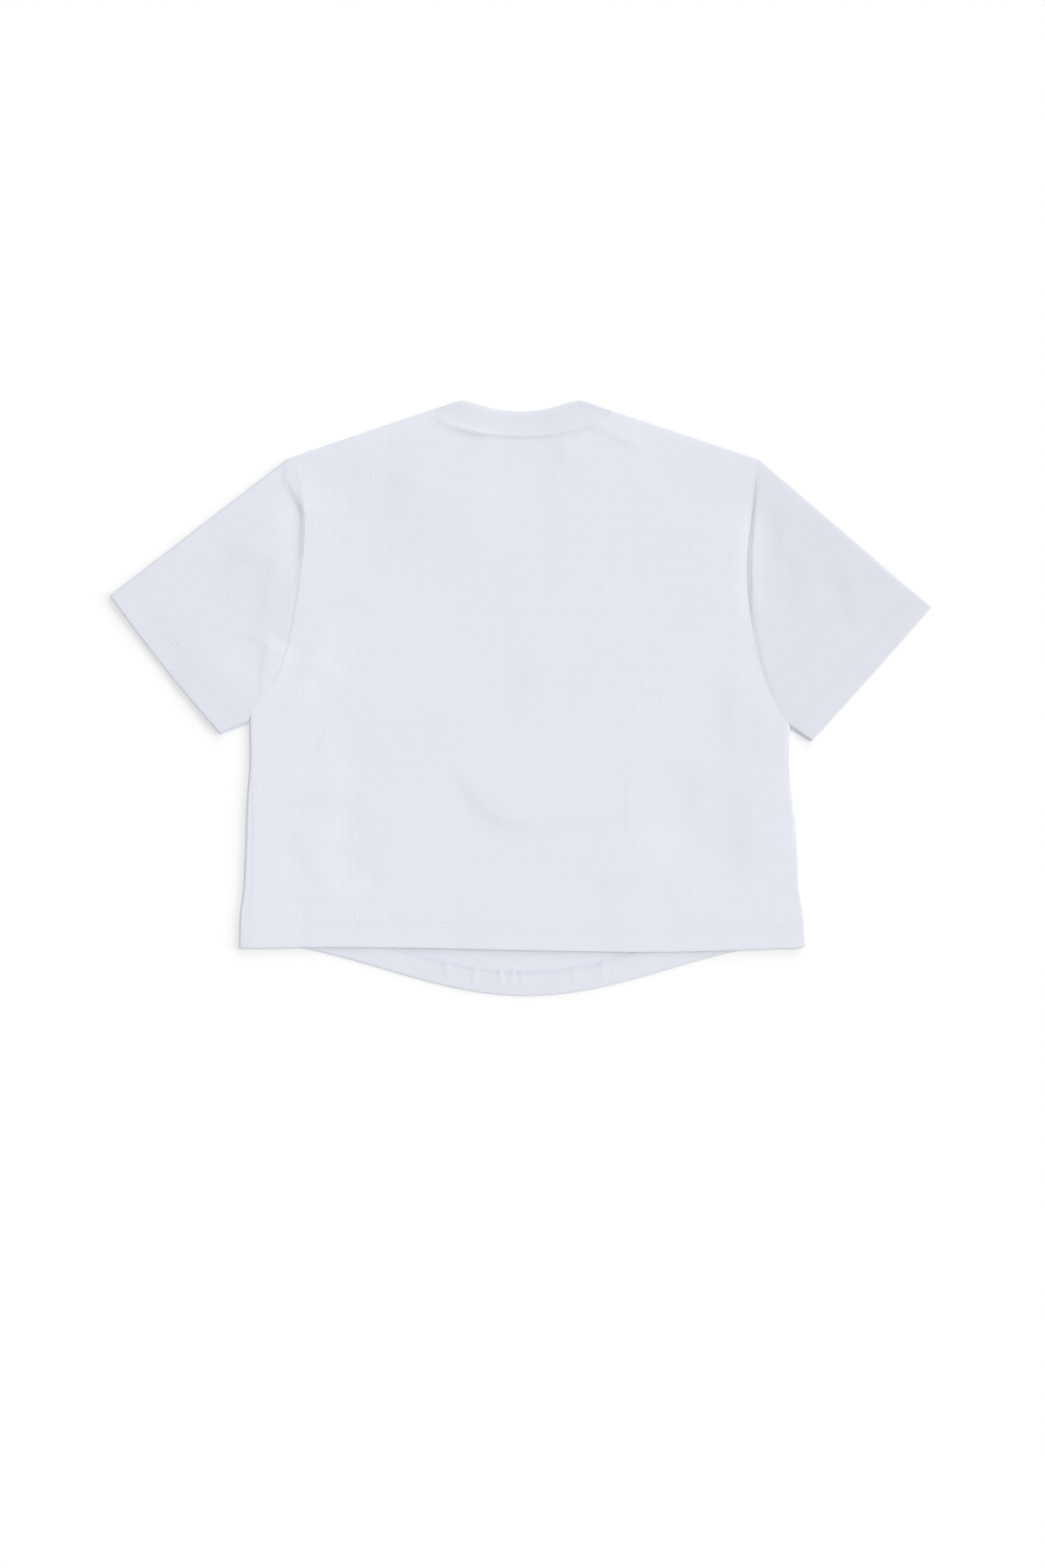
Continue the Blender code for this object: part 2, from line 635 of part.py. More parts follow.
def main():
    for old in list(bpy.data.objects):
        bpy.data.objects.remove(old)
    shirt = bpy.data.collections.new("t_shirt")
    bpy.context.scene.collection.children.link(shirt)
    patterns = {"front": pattern(False), "back": pattern(True)}
    faces = {}
    for name, points in patterns.items():
        faces[name] = [with_hem(points, name == "back", inside) for inside in (0.0, CLOTH)]
        cloth_object(name, *faces[name], jersey(f"jersey_{name}", WHITE_JERSEY), shirt)
    hem_rows = len(HEM_ROWS) + TURN_STEPS - 1
    edges = [rows[0][hem_rows:] for rows in faces.values()]
    for half in HALVES:
        name = f"sleeve_{half.name}"
        walls = [sleeve(half, *edges, inside) for inside in (0.0, CLOTH)]
        cloth_object(name, *walls, jersey(f"jersey_{name}", WHITE_JERSEY), shirt, closed=True)
    cloth_object("collar", collar(), collar(RIB), jersey("rib_collar", WHITE_RIB), shirt, closed=True)


main()
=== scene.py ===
"""Cropped crew-neck t-shirt of heavy white cotton jersey, laid flat with its back up."""

import logging
import math
from collections.abc import Sequence
from dataclasses import dataclass, field
from enum import Enum
from typing import ClassVar

import bmesh
import bpy
import numpy as np
from mathutils import Matrix, Vector


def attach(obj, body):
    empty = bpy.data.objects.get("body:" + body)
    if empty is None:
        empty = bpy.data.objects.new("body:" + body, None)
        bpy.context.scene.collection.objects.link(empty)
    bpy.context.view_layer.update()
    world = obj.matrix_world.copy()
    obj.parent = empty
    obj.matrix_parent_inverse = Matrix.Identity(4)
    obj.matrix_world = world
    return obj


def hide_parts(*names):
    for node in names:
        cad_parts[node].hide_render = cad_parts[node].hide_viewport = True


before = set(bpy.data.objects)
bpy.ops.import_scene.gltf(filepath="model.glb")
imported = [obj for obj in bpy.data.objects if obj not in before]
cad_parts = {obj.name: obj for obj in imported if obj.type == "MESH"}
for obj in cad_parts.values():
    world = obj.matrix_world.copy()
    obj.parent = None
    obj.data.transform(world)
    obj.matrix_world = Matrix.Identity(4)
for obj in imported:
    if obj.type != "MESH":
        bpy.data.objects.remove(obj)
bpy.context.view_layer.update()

log = logging.getLogger("t_shirt")

Array = np.ndarray
Point = tuple[float, float]
Colour = tuple[float, float, float, float]

FAR = 9.0  # metres; farther than any point of the shirt


class Layer(Enum):
    """Which of the two lying layers a piece of cloth belongs to."""

    LOWER = "front"
    UPPER = "back"


class Edge(Enum):
    """A long edge of a flattened sleeve."""

    TOP = "top"
    FOOT = "foot"


class RowPlace(Enum):
    """What a pattern row's place is measured by."""

    UP = "metres up from the hem"
    SHARE = "share of the side line"
    DOWN = "metres down from the top edge"


def smooth(t: Array | float) -> Array:
    """Ease from 0 to 1 with flat ends."""
    t = np.clip(t, 0.0, 1.0)
    return t * t * (3 - 2 * t)


def lerp(a: Array | float, b: Array | float, t: Array | float) -> Array:
    """Blend from a to b."""
    return a + (b - a) * t


def unit(vector: Sequence[float] | Array) -> Array:
    """Scale a vector to length one."""
    return np.asarray(vector) / np.linalg.norm(vector)


def bump(distance: Array, width: Array | float) -> Array:
    """A soft bell of height one."""
    return np.exp(-((distance / width) ** 2))


def beside_line(
    x: Array, y: Array, start: Sequence[float] | Array, end: Sequence[float] | Array
) -> tuple[Array, Array, Array]:
    """Set points against a straight line.

    Args:
        x: Places across the shirt.
        y: Places up the shirt.
        start: Where the line starts.
        end: Where it ends.

    Returns:
        Each point's distance from the line, how far along its nearest place is (0 to 1), and its
        side: 1 on the line's left and -1 on its right.
    """
    run = np.subtract(end, start)
    dx, dy = x - start[0], y - start[1]
    share = np.clip((dx * run[0] + dy * run[1]) / run.dot(run), 0, 1)
    dx, dy = dx - run[0] * share, dy - run[1] * share
    return np.hypot(dx, dy), share, np.sign(run[0] * dy - run[1] * dx)


def beside_path(x: Array, y: Array, points: Array, marks: Array) -> tuple[Array, Array, Array]:
    """Set points against a path of straight lines.

    Args:
        x: Places across the shirt.
        y: Places up the shirt.
        points: The path's points.
        marks: A running measure, one for each of the path's points.

    Returns:
        Each point's distance from the path, the measure at its nearest place, and its side: 1 on
        the path's left and -1 on its right.
    """
    away = np.full(np.shape(x), FAR)
    mark, side = np.zeros_like(away), np.zeros_like(away)
    for k in range(len(points) - 1):
        found, share, found_side = beside_line(x, y, points[k], points[k + 1])
        closer = found < away
        away = np.where(closer, found, away)
        mark = np.where(closer, lerp(marks[k], marks[k + 1], share), mark)
        side = np.where(closer, found_side, side)
    return away, mark, side


@dataclass(frozen=True)
class Curve:
    """A smooth curve through rows of (place, value)."""

    rows: tuple[Point, ...]

    def at(self, where: Array | float) -> Array:
        """Read the curve.

        Args:
            where: Places along it.

        Returns:
            The curve's value at each place.
        """
        knots, values = (np.array(part, float) for part in zip(*self.rows))
        where = np.asarray(where, float)
        slopes = np.gradient(values, knots)
        span = np.clip(np.searchsorted(knots, where) - 1, 0, len(knots) - 2)
        width = knots[span + 1] - knots[span]
        t = np.clip((where - knots[span]) / width, 0, 1)
        start = values[span] * (1 + 2 * t) + slopes[span] * width * t
        end = values[span + 1] * (3 - 2 * t) - slopes[span + 1] * width * (1 - t)
        return start * (1 - t) ** 2 + end * t * t


@dataclass(frozen=True)
class Cloth:
    """Thicknesses of the cloth, how tightly it turns and how finely it is divided. Metres.

    Attributes:
        layer: Thickness of the jersey.
        rib: Thickness of the folded rib band.
        gap: Gap between the two layers of a turned hem.
        seam_gap: Gap between the two panels at a seam.
        roll: Outer radius of the shirt's rolled rims.
        hem_band: How far up from its fold a hem's thickness reaches.
        hem_turned: How much cloth a hem turns up inside.
        pitch: About how far apart the mesh's points lie.
        roll_steps: Divisions of a quarter of a roll.
        turn_steps: Divisions of a hem's half turn.
    """

    layer: float = 0.0007
    rib: float = 0.0020
    gap: float = 0.0001
    seam_gap: float = 0.00006
    roll: float = 0.0021
    hem_band: float = 0.024
    hem_turned: float = 0.0245
    pitch: float = 0.0028
    roll_steps: int = 6
    turn_steps: int = 8

    @property
    def turn(self) -> float:
        """Outer radius of a turned hem."""
        return self.layer + self.gap / 2

    @property
    def quarter(self) -> float:
        """Cloth that a quarter of a roll takes up."""
        return math.pi * self.roll / 2

    @property
    def seam(self) -> float:
        """Where a panel ends, halfway up the roll."""
        return self.quarter - self.seam_gap / 2

    @property
    def edge_top(self) -> float:
        """Height of the shirt at its rims."""
        return 2 * self.roll

    def steps(self, length: float) -> int:
        """How many divisions a length takes."""
        return max(2, math.ceil(length / self.pitch))


CLOTH = Cloth()


@dataclass(frozen=True)
class Side:
    """One side of the shirt: its corner points, outline and armhole.

    Attributes:
        name: Left or right, as in the photo.
        sign: -1 for the left and 1 for the right.
        hem: Where the side starts, at the hem.
        underarm: Where the sleeve's lower edge meets it.
        tip: The shoulder's tip.
        neck: The shoulder's other end, at the neck.
        cuff_top: The cuff's upper end.
        cuff_foot: The cuff's lower end.
        bow: How far the cuff's middle bows out.
        tuck: Share of the armhole's height that its tucked foot takes up.
        outline: The side's place across the shirt, by the share from the hem to the underarm.
        armhole_line: The armhole's place across the shirt, by the share from its foot to its tip.
        slipped: How far the side seam has slipped round onto the upper side, by the outline's share.
        scoop: How much deeper the front's armhole is cut.
        tucked_share: Share of the armhole's rows that lie on its tucked foot.
    """

    name: str
    sign: int
    hem: Point
    underarm: Point
    tip: Point
    neck: Point
    cuff_top: Point
    cuff_foot: Point
    bow: float
    tuck: float
    outline: Curve
    armhole_line: Curve
    slipped: Curve
    scoop: float = 0.008
    tucked_share: float = 0.043

    def rim_x(self, y: Array | float) -> Array:
        """The line where the side's lower layer leaves the table."""
        share = (np.asarray(y) - self.hem[1]) / (self.underarm[1] - self.hem[1])
        return self.outline.at(share) - self.sign * CLOTH.roll

    def shoulder_out(self) -> Array:
        """The way out across the shoulder line, in plan."""
        run = np.subtract(self.neck, self.tip)
        return unit((-run[1] * -self.sign, run[0] * -self.sign))

    def sleeve_out(self, edge: Edge) -> Array:
        """The way out across a long edge of the sleeve, in plan.

        Args:
            edge: Which of the two edges.

        Returns:
            A direction of length one.
        """
        if edge is Edge.TOP:
            run = np.subtract(self.cuff_top, self.tip)
            return unit((abs(run[1]) * self.sign, abs(run[0])))
        run = np.subtract(self.cuff_foot, self.underarm)
        return unit((-abs(run[1]) * self.sign, -abs(run[0])))

    def reach(self, layer: Layer, share: Array | float) -> Array:
        """How far a panel runs past the side's rim line."""
        slip = self.slipped.at(share)
        return CLOTH.seam - slip if layer is Layer.UPPER else CLOTH.seam + slip

    def armhole(self, share: Array | float, layer: Layer = Layer.UPPER) -> Array:
        """Points of the armhole's pattern line.

        Args:
            share: From the underarm (0) to the shoulder tip (1).
            layer: The front one is cut deeper.

        Returns:
            One point for each share.
        """
        share = np.asarray(share, float)
        local = np.interp(share, (0, self.tucked_share, 1), (0, self.tuck, 1))
        tip = np.add(self.tip, (CLOTH.seam - CLOTH.roll) * self.shoulder_out())
        y = lerp(self.underarm[1], tip[1], local)
        x = self.armhole_line.at(local)
        if layer is Layer.LOWER:
            x = x - self.sign * self.scoop * np.sin(math.pi * local) ** 2
        rim = self.rim_x(np.full_like(y, self.underarm[1]))
        tucked = rim + self.sign * CLOTH.seam * (1 - share / self.tucked_share)
        return np.stack([np.where(share < self.tucked_share, tucked, x), y], axis=-1)


LEFT = Side(
    name="left",
    sign=-1,
    hem=(-0.2778, -0.2450),
    underarm=(-0.2675, -0.0232),
    tip=(-0.2296, 0.2365),
    neck=(-0.0870, 0.2847),
    cuff_top=(-0.4051, 0.1015),
    cuff_foot=(-0.2967, -0.0353),
    bow=0.0024,
    tuck=0.043,
    outline=Curve((
        (0.00, -0.2778), (0.15, -0.2766), (0.25, -0.2737), (0.40, -0.2719), (0.55, -0.2708),
        (0.65, -0.2700), (0.80, -0.2675), (1.00, -0.2675),
    )),
    armhole_line=Curve((
        (0.00, -0.2675), (0.05, -0.2630), (0.10, -0.2524), (0.16, -0.2418), (0.24, -0.2330),
        (0.34, -0.2265), (0.45, -0.2213), (0.57, -0.2166), (0.69, -0.2137), (0.76, -0.2133),
        (0.85, -0.2155), (0.92, -0.2190), (1.00, -0.2296),
    )),
    slipped=Curve(((0.0, 0.0112), (0.5, 0.0084), (0.8, 0.00504), (1.0, 0.0))),
)
RIGHT = Side(
    name="right",
    sign=1,
    hem=(0.2812, -0.2442),
    underarm=(0.2657, -0.0292),
    tip=(0.2348, 0.2365),
    neck=(0.0895, 0.2847),
    cuff_top=(0.4051, 0.0912),
    cuff_foot=(0.2864, -0.0421),
    bow=0.0008,
    tuck=0.020,
    outline=Curve((
        (0.00, 0.2812), (0.15, 0.2793), (0.25, 0.2756), (0.40, 0.2742), (0.55, 0.2724),
        (0.65, 0.2696), (0.80, 0.2662), (1.00, 0.2657),
    )),
    armhole_line=Curve((
        (0.00, 0.2657), (0.05, 0.2572), (0.10, 0.2499), (0.16, 0.2429), (0.24, 0.2356),
        (0.34, 0.2297), (0.45, 0.2257), (0.57, 0.2232), (0.69, 0.2247), (0.76, 0.2272),
        (0.85, 0.2298), (0.92, 0.2314), (1.00, 0.2352),
    )),
    slipped=Curve(((0.0, 0.0), (1.0, 0.0))),
)
SIDES = (LEFT, RIGHT)


@dataclass(frozen=True)
class Neck:
    """The neck seam and the band's free edge.

    Attributes:
        fewest_columns: The fewest columns that the seam may have.
        half: Half the seam's width.
        x: The seam's middle, across the shirt.
        y: The shoulder points' place up the shirt.
        back_drop: How far the back's seam drops below them.
        front_drop: How far the front's does.
        peak_half: Half the width of the free edge.
        peak_x: The free edge's middle, across the shirt.
        peak_y: Its ends' place up the shirt.
        back_dip: How far its back half dips below them.
        front_dip: How far its front half does.
        shoulder_cos: Cosine of the shoulder's slope.
        gap: Gap between a panel and the band.
        band: The band's width.
    """

    fewest_columns: ClassVar[int] = 8

    half: float = 0.0882
    x: float = 0.00125
    y: float = 0.2847
    back_drop: float = 0.0267
    front_drop: float = 0.095
    peak_half: float = 0.0612
    peak_x: float = 0.0010
    peak_y: float = 0.2941
    back_dip: float = 0.0114
    front_dip: float = 0.0790
    shoulder_cos: float = 0.95
    gap: float = 0.00006
    band: float = 0.0245

    @property
    def rise(self) -> float:
        """How far the seam's ends run up round the shoulder's roll."""
        return (CLOTH.seam - CLOTH.roll) * self.shoulder_cos

    def drop(self, layer: Layer) -> float:
        """Depth of the neck seam below the shoulder points."""
        return self.back_drop if layer is Layer.UPPER else self.front_drop

    def seam(self, angle: Array, layer: Layer, out: float = 0.0) -> Array:
        """Points of the neck seam.

        Args:
            angle: From the left shoulder (0) to the right one (pi).
            layer: The upper (back) or lower (front) half of the neck.
            out: How far outside the seam they lie.

        Returns:
            One point for each angle, in plan.
        """
        x = self.x - (self.half + out) * np.cos(angle)
        depth = self.drop(layer) + self.rise + out
        return np.stack([x, self.y + self.rise - depth * np.sin(angle)], axis=-1)

    def free_edge(self, angle: Array, layer: Layer) -> Array:
        """Points of the band's free edge.

        Args:
            angle: From the left fold (0) to the right one (pi).
            layer: The upper (back) or lower (front) half of the neck.

        Returns:
            One point for each angle, in plan.
        """
        x = self.peak_x - self.peak_half * np.cos(angle)
        if layer is Layer.UPPER:
            dip = (self.back_dip + self.rise) * np.sin(math.pi / 2 * (1 - np.abs(np.cos(angle))))
        else:
            dip = (self.front_dip + self.rise) * np.sin(angle)
        return np.stack([x, self.peak_y + self.rise - dip], axis=-1)

    def angles(self, layer: Layer, pitch: float) -> Array:
        """Angles of the seam's columns.

        Args:
            layer: The upper (back) or lower (front) half of the neck.
            pitch: About how far apart they lie.

        Returns:
            Angles from 0 to pi, close together at the shoulder rolls.
        """
        drop = self.drop(layer)
        steps = [
            math.asin(CLOTH.quarter * k / CLOTH.roll_steps / drop) for k in range(CLOTH.roll_steps + 1)
        ]
        seam_length = math.pi * math.hypot(self.half, drop) / math.sqrt(2)
        count = max(self.fewest_columns, math.ceil(seam_length / pitch))
        middle = np.linspace(steps[-1], math.pi - steps[-1], count)[1:-1]
        return np.concatenate([steps, middle, [math.pi - step for step in reversed(steps)]])


NECK = Neck()


@dataclass(frozen=True)
class Fold:
    """A broad soft swell.

    Attributes:
        name: Where it is.
        x: Its middle's place across the shirt.
        y: Its middle's place up the shirt.
        turn: Angle of its crest from +X, in degrees.
        length: About half its length.
        width: About half its width.
        rise: Its height.
    """

    name: str
    x: float
    y: float
    turn: float
    length: float
    width: float
    rise: float

    def height(self, x: Array, y: Array) -> Array:
        """How much the swell lifts each point.

        Args:
            x: Places across the shirt.
            y: Places up the shirt.

        Returns:
            The height to add.
        """
        turn = math.radians(self.turn)
        along = (x - self.x) * math.cos(turn) + (y - self.y) * math.sin(turn)
        across = (y - self.y) * math.cos(turn) - (x - self.x) * math.sin(turn)
        return self.rise * np.exp(-((across / self.width) ** 2) - (along / self.length) ** 4)


@dataclass(frozen=True)
class Crease:
    """A soft uneven trough (rise below zero) or ridge along listed points.

    With a lean of 1 it is a step instead, higher on its path's left, that eases away on both sides.

    Attributes:
        steepness: How steep such a step is.
        easing: How many widths it takes to ease away.
        wander: How much a crease's depth and width wander.
        wander_turns: How often they do so along it.
        wander_start: How much its start, across and up the shirt, shifts that.
        divisions: How many lengths each part of its path is divided into.
        name: Where it is.
        path: The listed points.
        width: About half its width.
        rise: Its height.
        lean: From 0, for a trough or ridge, to 1, for a step.
        fade: Share of its path over which each end fades out.
    """

    steepness: ClassVar[float] = 1.3
    easing: ClassVar[float] = 5.0
    wander: ClassVar[float] = 0.18
    wander_turns: ClassVar[float] = 1.1
    wander_start: ClassVar[Point] = (7.0, 11.0)
    divisions: ClassVar[int] = 6

    name: str
    path: tuple[Point, ...]
    width: float
    rise: float
    lean: float = 0.0
    fade: float = 0.25

    def eased_path(self) -> Array:
        """Ease the path.

        Returns:
            Points of one smooth line through the listed ones.
        """
        knots = np.linspace(0, 1, len(self.path))
        at = np.linspace(0, 1, self.divisions * (len(self.path) - 1) + 1)
        return np.stack([Curve(tuple(zip(knots, values))).at(at) for values in zip(*self.path)], axis=-1)

    def height(self, x: Array, y: Array) -> Array:
        """How much the crease lifts each point.

        Args:
            x: Places across the shirt.
            y: Places up the shirt.

        Returns:
            The height to add, its depth and width wandering a little along the path.
        """
        points = self.eased_path()
        starts = np.concatenate([[0.0], np.linalg.norm(np.diff(points, axis=0), axis=1).cumsum()])
        away, place, side = beside_path(x, y, points, starts / starts[-1])
        phase = points[0].dot(self.wander_start)
        wander = 1 + self.wander * np.sin(2 * math.pi * (self.wander_turns * place + phase))
        scaled = away / (self.width * wander)
        ends = smooth(place / self.fade) * smooth((1 - place) / self.fade)
        even = (1 - self.lean) * bump(scaled, 1.0)
        stepped = self.lean * side * np.tanh(self.steepness * scaled) * bump(scaled, self.easing)
        return self.rise * wander * ends * (even + stepped)


# name, x, y, turn, length, width, rise
FOLDS = (
    Fold("left underarm", -0.215, 0.016, 57, 0.050, 0.013, 0.00065),
    Fold("left chest", -0.175, 0.094, 5, 0.050, 0.013, 0.00030),
    Fold("low left", -0.196, -0.135, 84, 0.060, 0.016, 0.00045),
    Fold("right flank", 0.205, -0.035, 62, 0.060, 0.022, 0.00045),
    Fold("neck left", -0.098, 0.232, 62, 0.045, 0.015, 0.00050),
    Fold("neck right", 0.105, 0.238, -55, 0.040, 0.015, 0.00045),
    Fold("left sleeve", -0.262, 0.150, 58, 0.075, 0.014, 0.00050),
    Fold("left sleeve low", -0.258, 0.040, 80, 0.045, 0.011, 0.00060),
    Fold("right sleeve low", 0.285, 0.035, 48, 0.060, 0.015, 0.00040),
)

# name, path, width, rise, lean, fade
CREASES = (
    Crease(
        "waist",
        (
            (-0.078, -0.056), (-0.056, -0.088), (-0.032, -0.117), (0.003, -0.129),
            (0.045, -0.123), (0.096, -0.110),
        ),
        0.0080, 0.0006, 1.0,
    ),
    Crease(
        "waist left",
        ((-0.248, -0.076), (-0.230, -0.098), (-0.198, -0.106), (-0.152, -0.090)),
        0.0140, 0.0007, 1.0,
    ),
    Crease(
        "low left upright",
        ((-0.236, -0.124), (-0.219, -0.150), (-0.207, -0.176), (-0.182, -0.190)),
        0.0110, 0.0007, 1.0,
    ),
    Crease("low left corner", ((-0.264, -0.182), (-0.240, -0.196), (-0.204, -0.197)), 0.0110, 0.0005, 1.0),
    Crease("low left short", ((-0.176, -0.132), (-0.160, -0.160), (-0.126, -0.180)), 0.0110, 0.0004, 1.0),
    Crease(
        "above hem",
        ((-0.262, -0.201), (-0.215, -0.199), (-0.160, -0.200), (-0.110, -0.202)),
        0.0028, 0.0002, 1.0,
    ),
    Crease("chest", ((-0.214, 0.093), (-0.180, 0.095), (-0.140, 0.092)), 0.0040, 0.00025, 1.0),
    Crease("chest high", ((-0.206, 0.110), (-0.176, 0.114), (-0.150, 0.112)), 0.0060, 0.0002, 1.0),
    Crease("left armpit", ((-0.202, 0.052), (-0.222, 0.022), (-0.246, -0.006)), 0.0090, 0.0006, 1.0),
    Crease("left armpit low", ((-0.230, -0.010), (-0.214, -0.012), (-0.194, -0.004)), 0.0090, 0.0003, 1.0),
    Crease("middle", ((-0.004, 0.060), (0.002, 0.016), (-0.008, -0.036)), 0.0120, 0.0004, 1.0),
    Crease("right flank", ((0.196, 0.034), (0.206, -0.010), (0.202, -0.064)), 0.0110, 0.0006, 1.0),
    Crease("right flank long", ((0.150, -0.050), (0.170, -0.104), (0.172, -0.156)), 0.0150, 0.0004, 1.0),
    Crease("right side", ((0.208, -0.072), (0.218, -0.124), (0.212, -0.180)), 0.0120, 0.0008, 1.0),
    Crease("low right", ((0.050, -0.172), (0.104, -0.184), (0.158, -0.172)), 0.0130, 0.0004, 1.0),
    Crease(
        "neck left",
        ((-0.0900, 0.2705), (-0.0827, 0.2682), (-0.0625, 0.2627), (-0.0442, 0.2590), (-0.0300, 0.2582)),
        0.0022, 0.0005, 1.0, 0.3,
    ),
    Crease("neck left bend", ((-0.112, 0.264), (-0.124, 0.238), (-0.130, 0.202)), 0.0100, 0.0004, 1.0),
    Crease("neck pleat", ((0.037, 0.250), (0.040, 0.240), (0.043, 0.226)), 0.0040, 0.00025, 1.0),
    Crease("neck pleat near", ((0.014, 0.248), (0.012, 0.240), (0.010, 0.230)), 0.0040, 0.0002, 1.0),
    Crease(
        "neck right",
        ((0.0560, 0.2690), (0.0640, 0.2670), (0.0805, 0.2627), (0.0970, 0.2545), (0.1208, 0.2435)),
        0.0036, 0.0007, 1.0, 0.3,
    ),
    Crease("left shoulder", ((-0.150, 0.262), (-0.160, 0.225), (-0.168, 0.180)), 0.0110, 0.0004, 1.0),
    Crease(
        "left sleeve hook",
        ((-0.2303, 0.2347), (-0.2331, 0.2235), (-0.2345, 0.2138), (-0.2337, 0.2068)),
        0.0020, 0.0012, 1.0, 0.3,
    ),
    Crease(
        "left sleeve head",
        ((-0.2345, 0.2200), (-0.2310, 0.2150), (-0.2248, 0.2012), (-0.2178, 0.1874), (-0.2145, 0.1762)),
        0.0026, 0.0008, 1.0, 0.25,
    ),
    Crease("left sleeve high", ((-0.268, 0.200), (-0.282, 0.168), (-0.290, 0.132)), 0.0100, 0.0004, 1.0),
    Crease("left sleeve mid", ((-0.246, 0.146), (-0.252, 0.108), (-0.250, 0.068)), 0.0090, 0.0004, 1.0),
    Crease(
        "left sleeve valley",
        ((-0.2490, 0.062), (-0.2560, 0.032), (-0.2580, 0.000)),
        0.0044, 0.0008, 1.0,
    ),
    Crease("left cuff", ((-0.318, 0.070), (-0.332, 0.034), (-0.330, 0.002)), 0.0100, 0.0004, 1.0),
    Crease(
        "right sleeve groove",
        (
            (0.2360, 0.2360), (0.2327, 0.2041), (0.2285, 0.1623), (0.2265, 0.1345),
            (0.2277, 0.0927), (0.2310, 0.0600),
        ),
        0.0018, 0.0009, 1.0, 0.30,
    ),
    Crease(
        "right sleeve groove low",
        ((0.2277, 0.0927), (0.2325, 0.0649), (0.2388, 0.0315), (0.2486, 0.0065), (0.2611, -0.0186)),
        0.0022, 0.0003, 1.0, 0.25,
    ),
    Crease("right sleeve head", ((0.250, 0.200), (0.255, 0.164), (0.250, 0.126)), 0.0060, 0.00035, 1.0),
    Crease("right sleeve mid", ((0.262, 0.156), (0.272, 0.118), (0.266, 0.078)), 0.0100, 0.0005, 1.0),
    Crease("right sleeve outer", ((0.304, 0.138), (0.322, 0.104), (0.328, 0.066)), 0.0110, 0.0005, 1.0),
    Crease(
        "right cuff corner",
        ((0.336, 0.128), (0.360, 0.116), (0.392, 0.097)),
        0.0080, 0.0005, 1.0, 0.15,
    ),
    Crease("right armpit", ((0.226, -0.006), (0.234, -0.034), (0.236, -0.066)), 0.0100, 0.0006, 1.0),
)

PUCKERS = (
    Crease("flap far left", ((-0.077, -0.252), (-0.074, -0.262), (-0.072, -0.276)), 0.0024, 0.0005),
    Crease("flap left", ((-0.044, -0.258), (-0.045, -0.270), (-0.047, -0.286)), 0.0022, 0.0005),
    Crease("flap near", ((-0.022, -0.257), (-0.021, -0.268), (-0.019, -0.284)), 0.0017, 0.0006),
    Crease("flap pair", ((-0.008, -0.259), (-0.009, -0.270), (-0.008, -0.286)), 0.0017, 0.0006),
    Crease("flap pair right", ((0.000, -0.260), (0.001, -0.272), (0.004, -0.286)), 0.0017, 0.0005),
    Crease("flap right", ((0.052, -0.258), (0.053, -0.266), (0.052, -0.278)), 0.0020, 0.0004),
    Crease("flap far right", ((0.081, -0.254), (0.081, -0.266), (0.079, -0.280)), 0.0026, 0.0005),
)

UNDERSIDE_CREASES = (
    Crease("under chest", ((-0.120, 0.100), (-0.060, 0.072), (0.000, 0.076)), 0.009, 0.0006),
    Crease("under neck", ((0.060, 0.130), (0.100, 0.150), (0.130, 0.190)), 0.009, 0.0005),
    Crease("under middle", ((-0.020, 0.012), (0.010, -0.040), (0.000, -0.100)), 0.008, 0.0005),
    Crease("under waist", ((0.160, -0.056), (0.100, -0.088), (0.034, -0.076)), 0.010, 0.0006),
    Crease("under low left", ((-0.196, -0.070), (-0.160, -0.128), (-0.166, -0.176)), 0.010, 0.0006),
    Crease("under low right", ((0.206, -0.110), (0.164, -0.152), (0.108, -0.166)), 0.010, 0.0005),
    Crease("under left armpit", ((-0.218, 0.004), (-0.192, 0.040), (-0.160, 0.058)), 0.008, 0.0006),
    Crease("under right armpit", ((0.218, 0.006), (0.190, 0.046), (0.158, 0.092)), 0.008, 0.0006),
    Crease("under left sleeve", ((-0.268, 0.156), (-0.286, 0.112), (-0.280, 0.072)), 0.008, 0.0005),
    Crease("under right sleeve", ((0.270, 0.158), (0.292, 0.112), (0.282, 0.074)), 0.008, 0.0005),
)


@dataclass(frozen=True)
class Swell:
    """One ridge or groove that runs beside a seam.

    The far side is the sleeve's side of an armhole, and the outside of the neck's ring.

    Attributes:
        away: How far from the seam it runs, above zero on the far side.
        rise: Its height, below zero for a groove.
        width: About half its width.
        far: The same on its own far side, if that differs.
    """

    away: float
    rise: float
    width: float
    far: float | None = None

    def height(self, signed: Array) -> Array:
        """How much it lifts points, by their distance from the seam."""
        past = signed - self.away
        return self.rise * bump(past, np.where(past > 0, self.far or self.width, self.width))


@dataclass(frozen=True)
class SeamProfile:
    """The swells and grooves beside one armhole seam.

    Attributes:
        divisions: How many lengths the seam is divided into.
        side: The side that it is on.
        swells: The swells and grooves.
        strength: How strong they are, from the seam's foot (0) to its top (1).
    """

    divisions: ClassVar[int] = 32

    side: Side
    swells: tuple[Swell, ...]
    strength: Curve

    def height(self, x: Array, y: Array) -> Array:
        """How much the seam's swells lift each point.

        Args:
            x: Places across the shirt.
            y: Places up the shirt.

        Returns:
            The height to add.
        """
        shares = np.linspace(0, 1, self.divisions + 1)
        away, share, side = beside_path(x, y, self.side.armhole(shares), shares)
        signed = -self.side.sign * side * away
        return sum(swell.height(signed) for swell in self.swells) * self.strength.at(share)


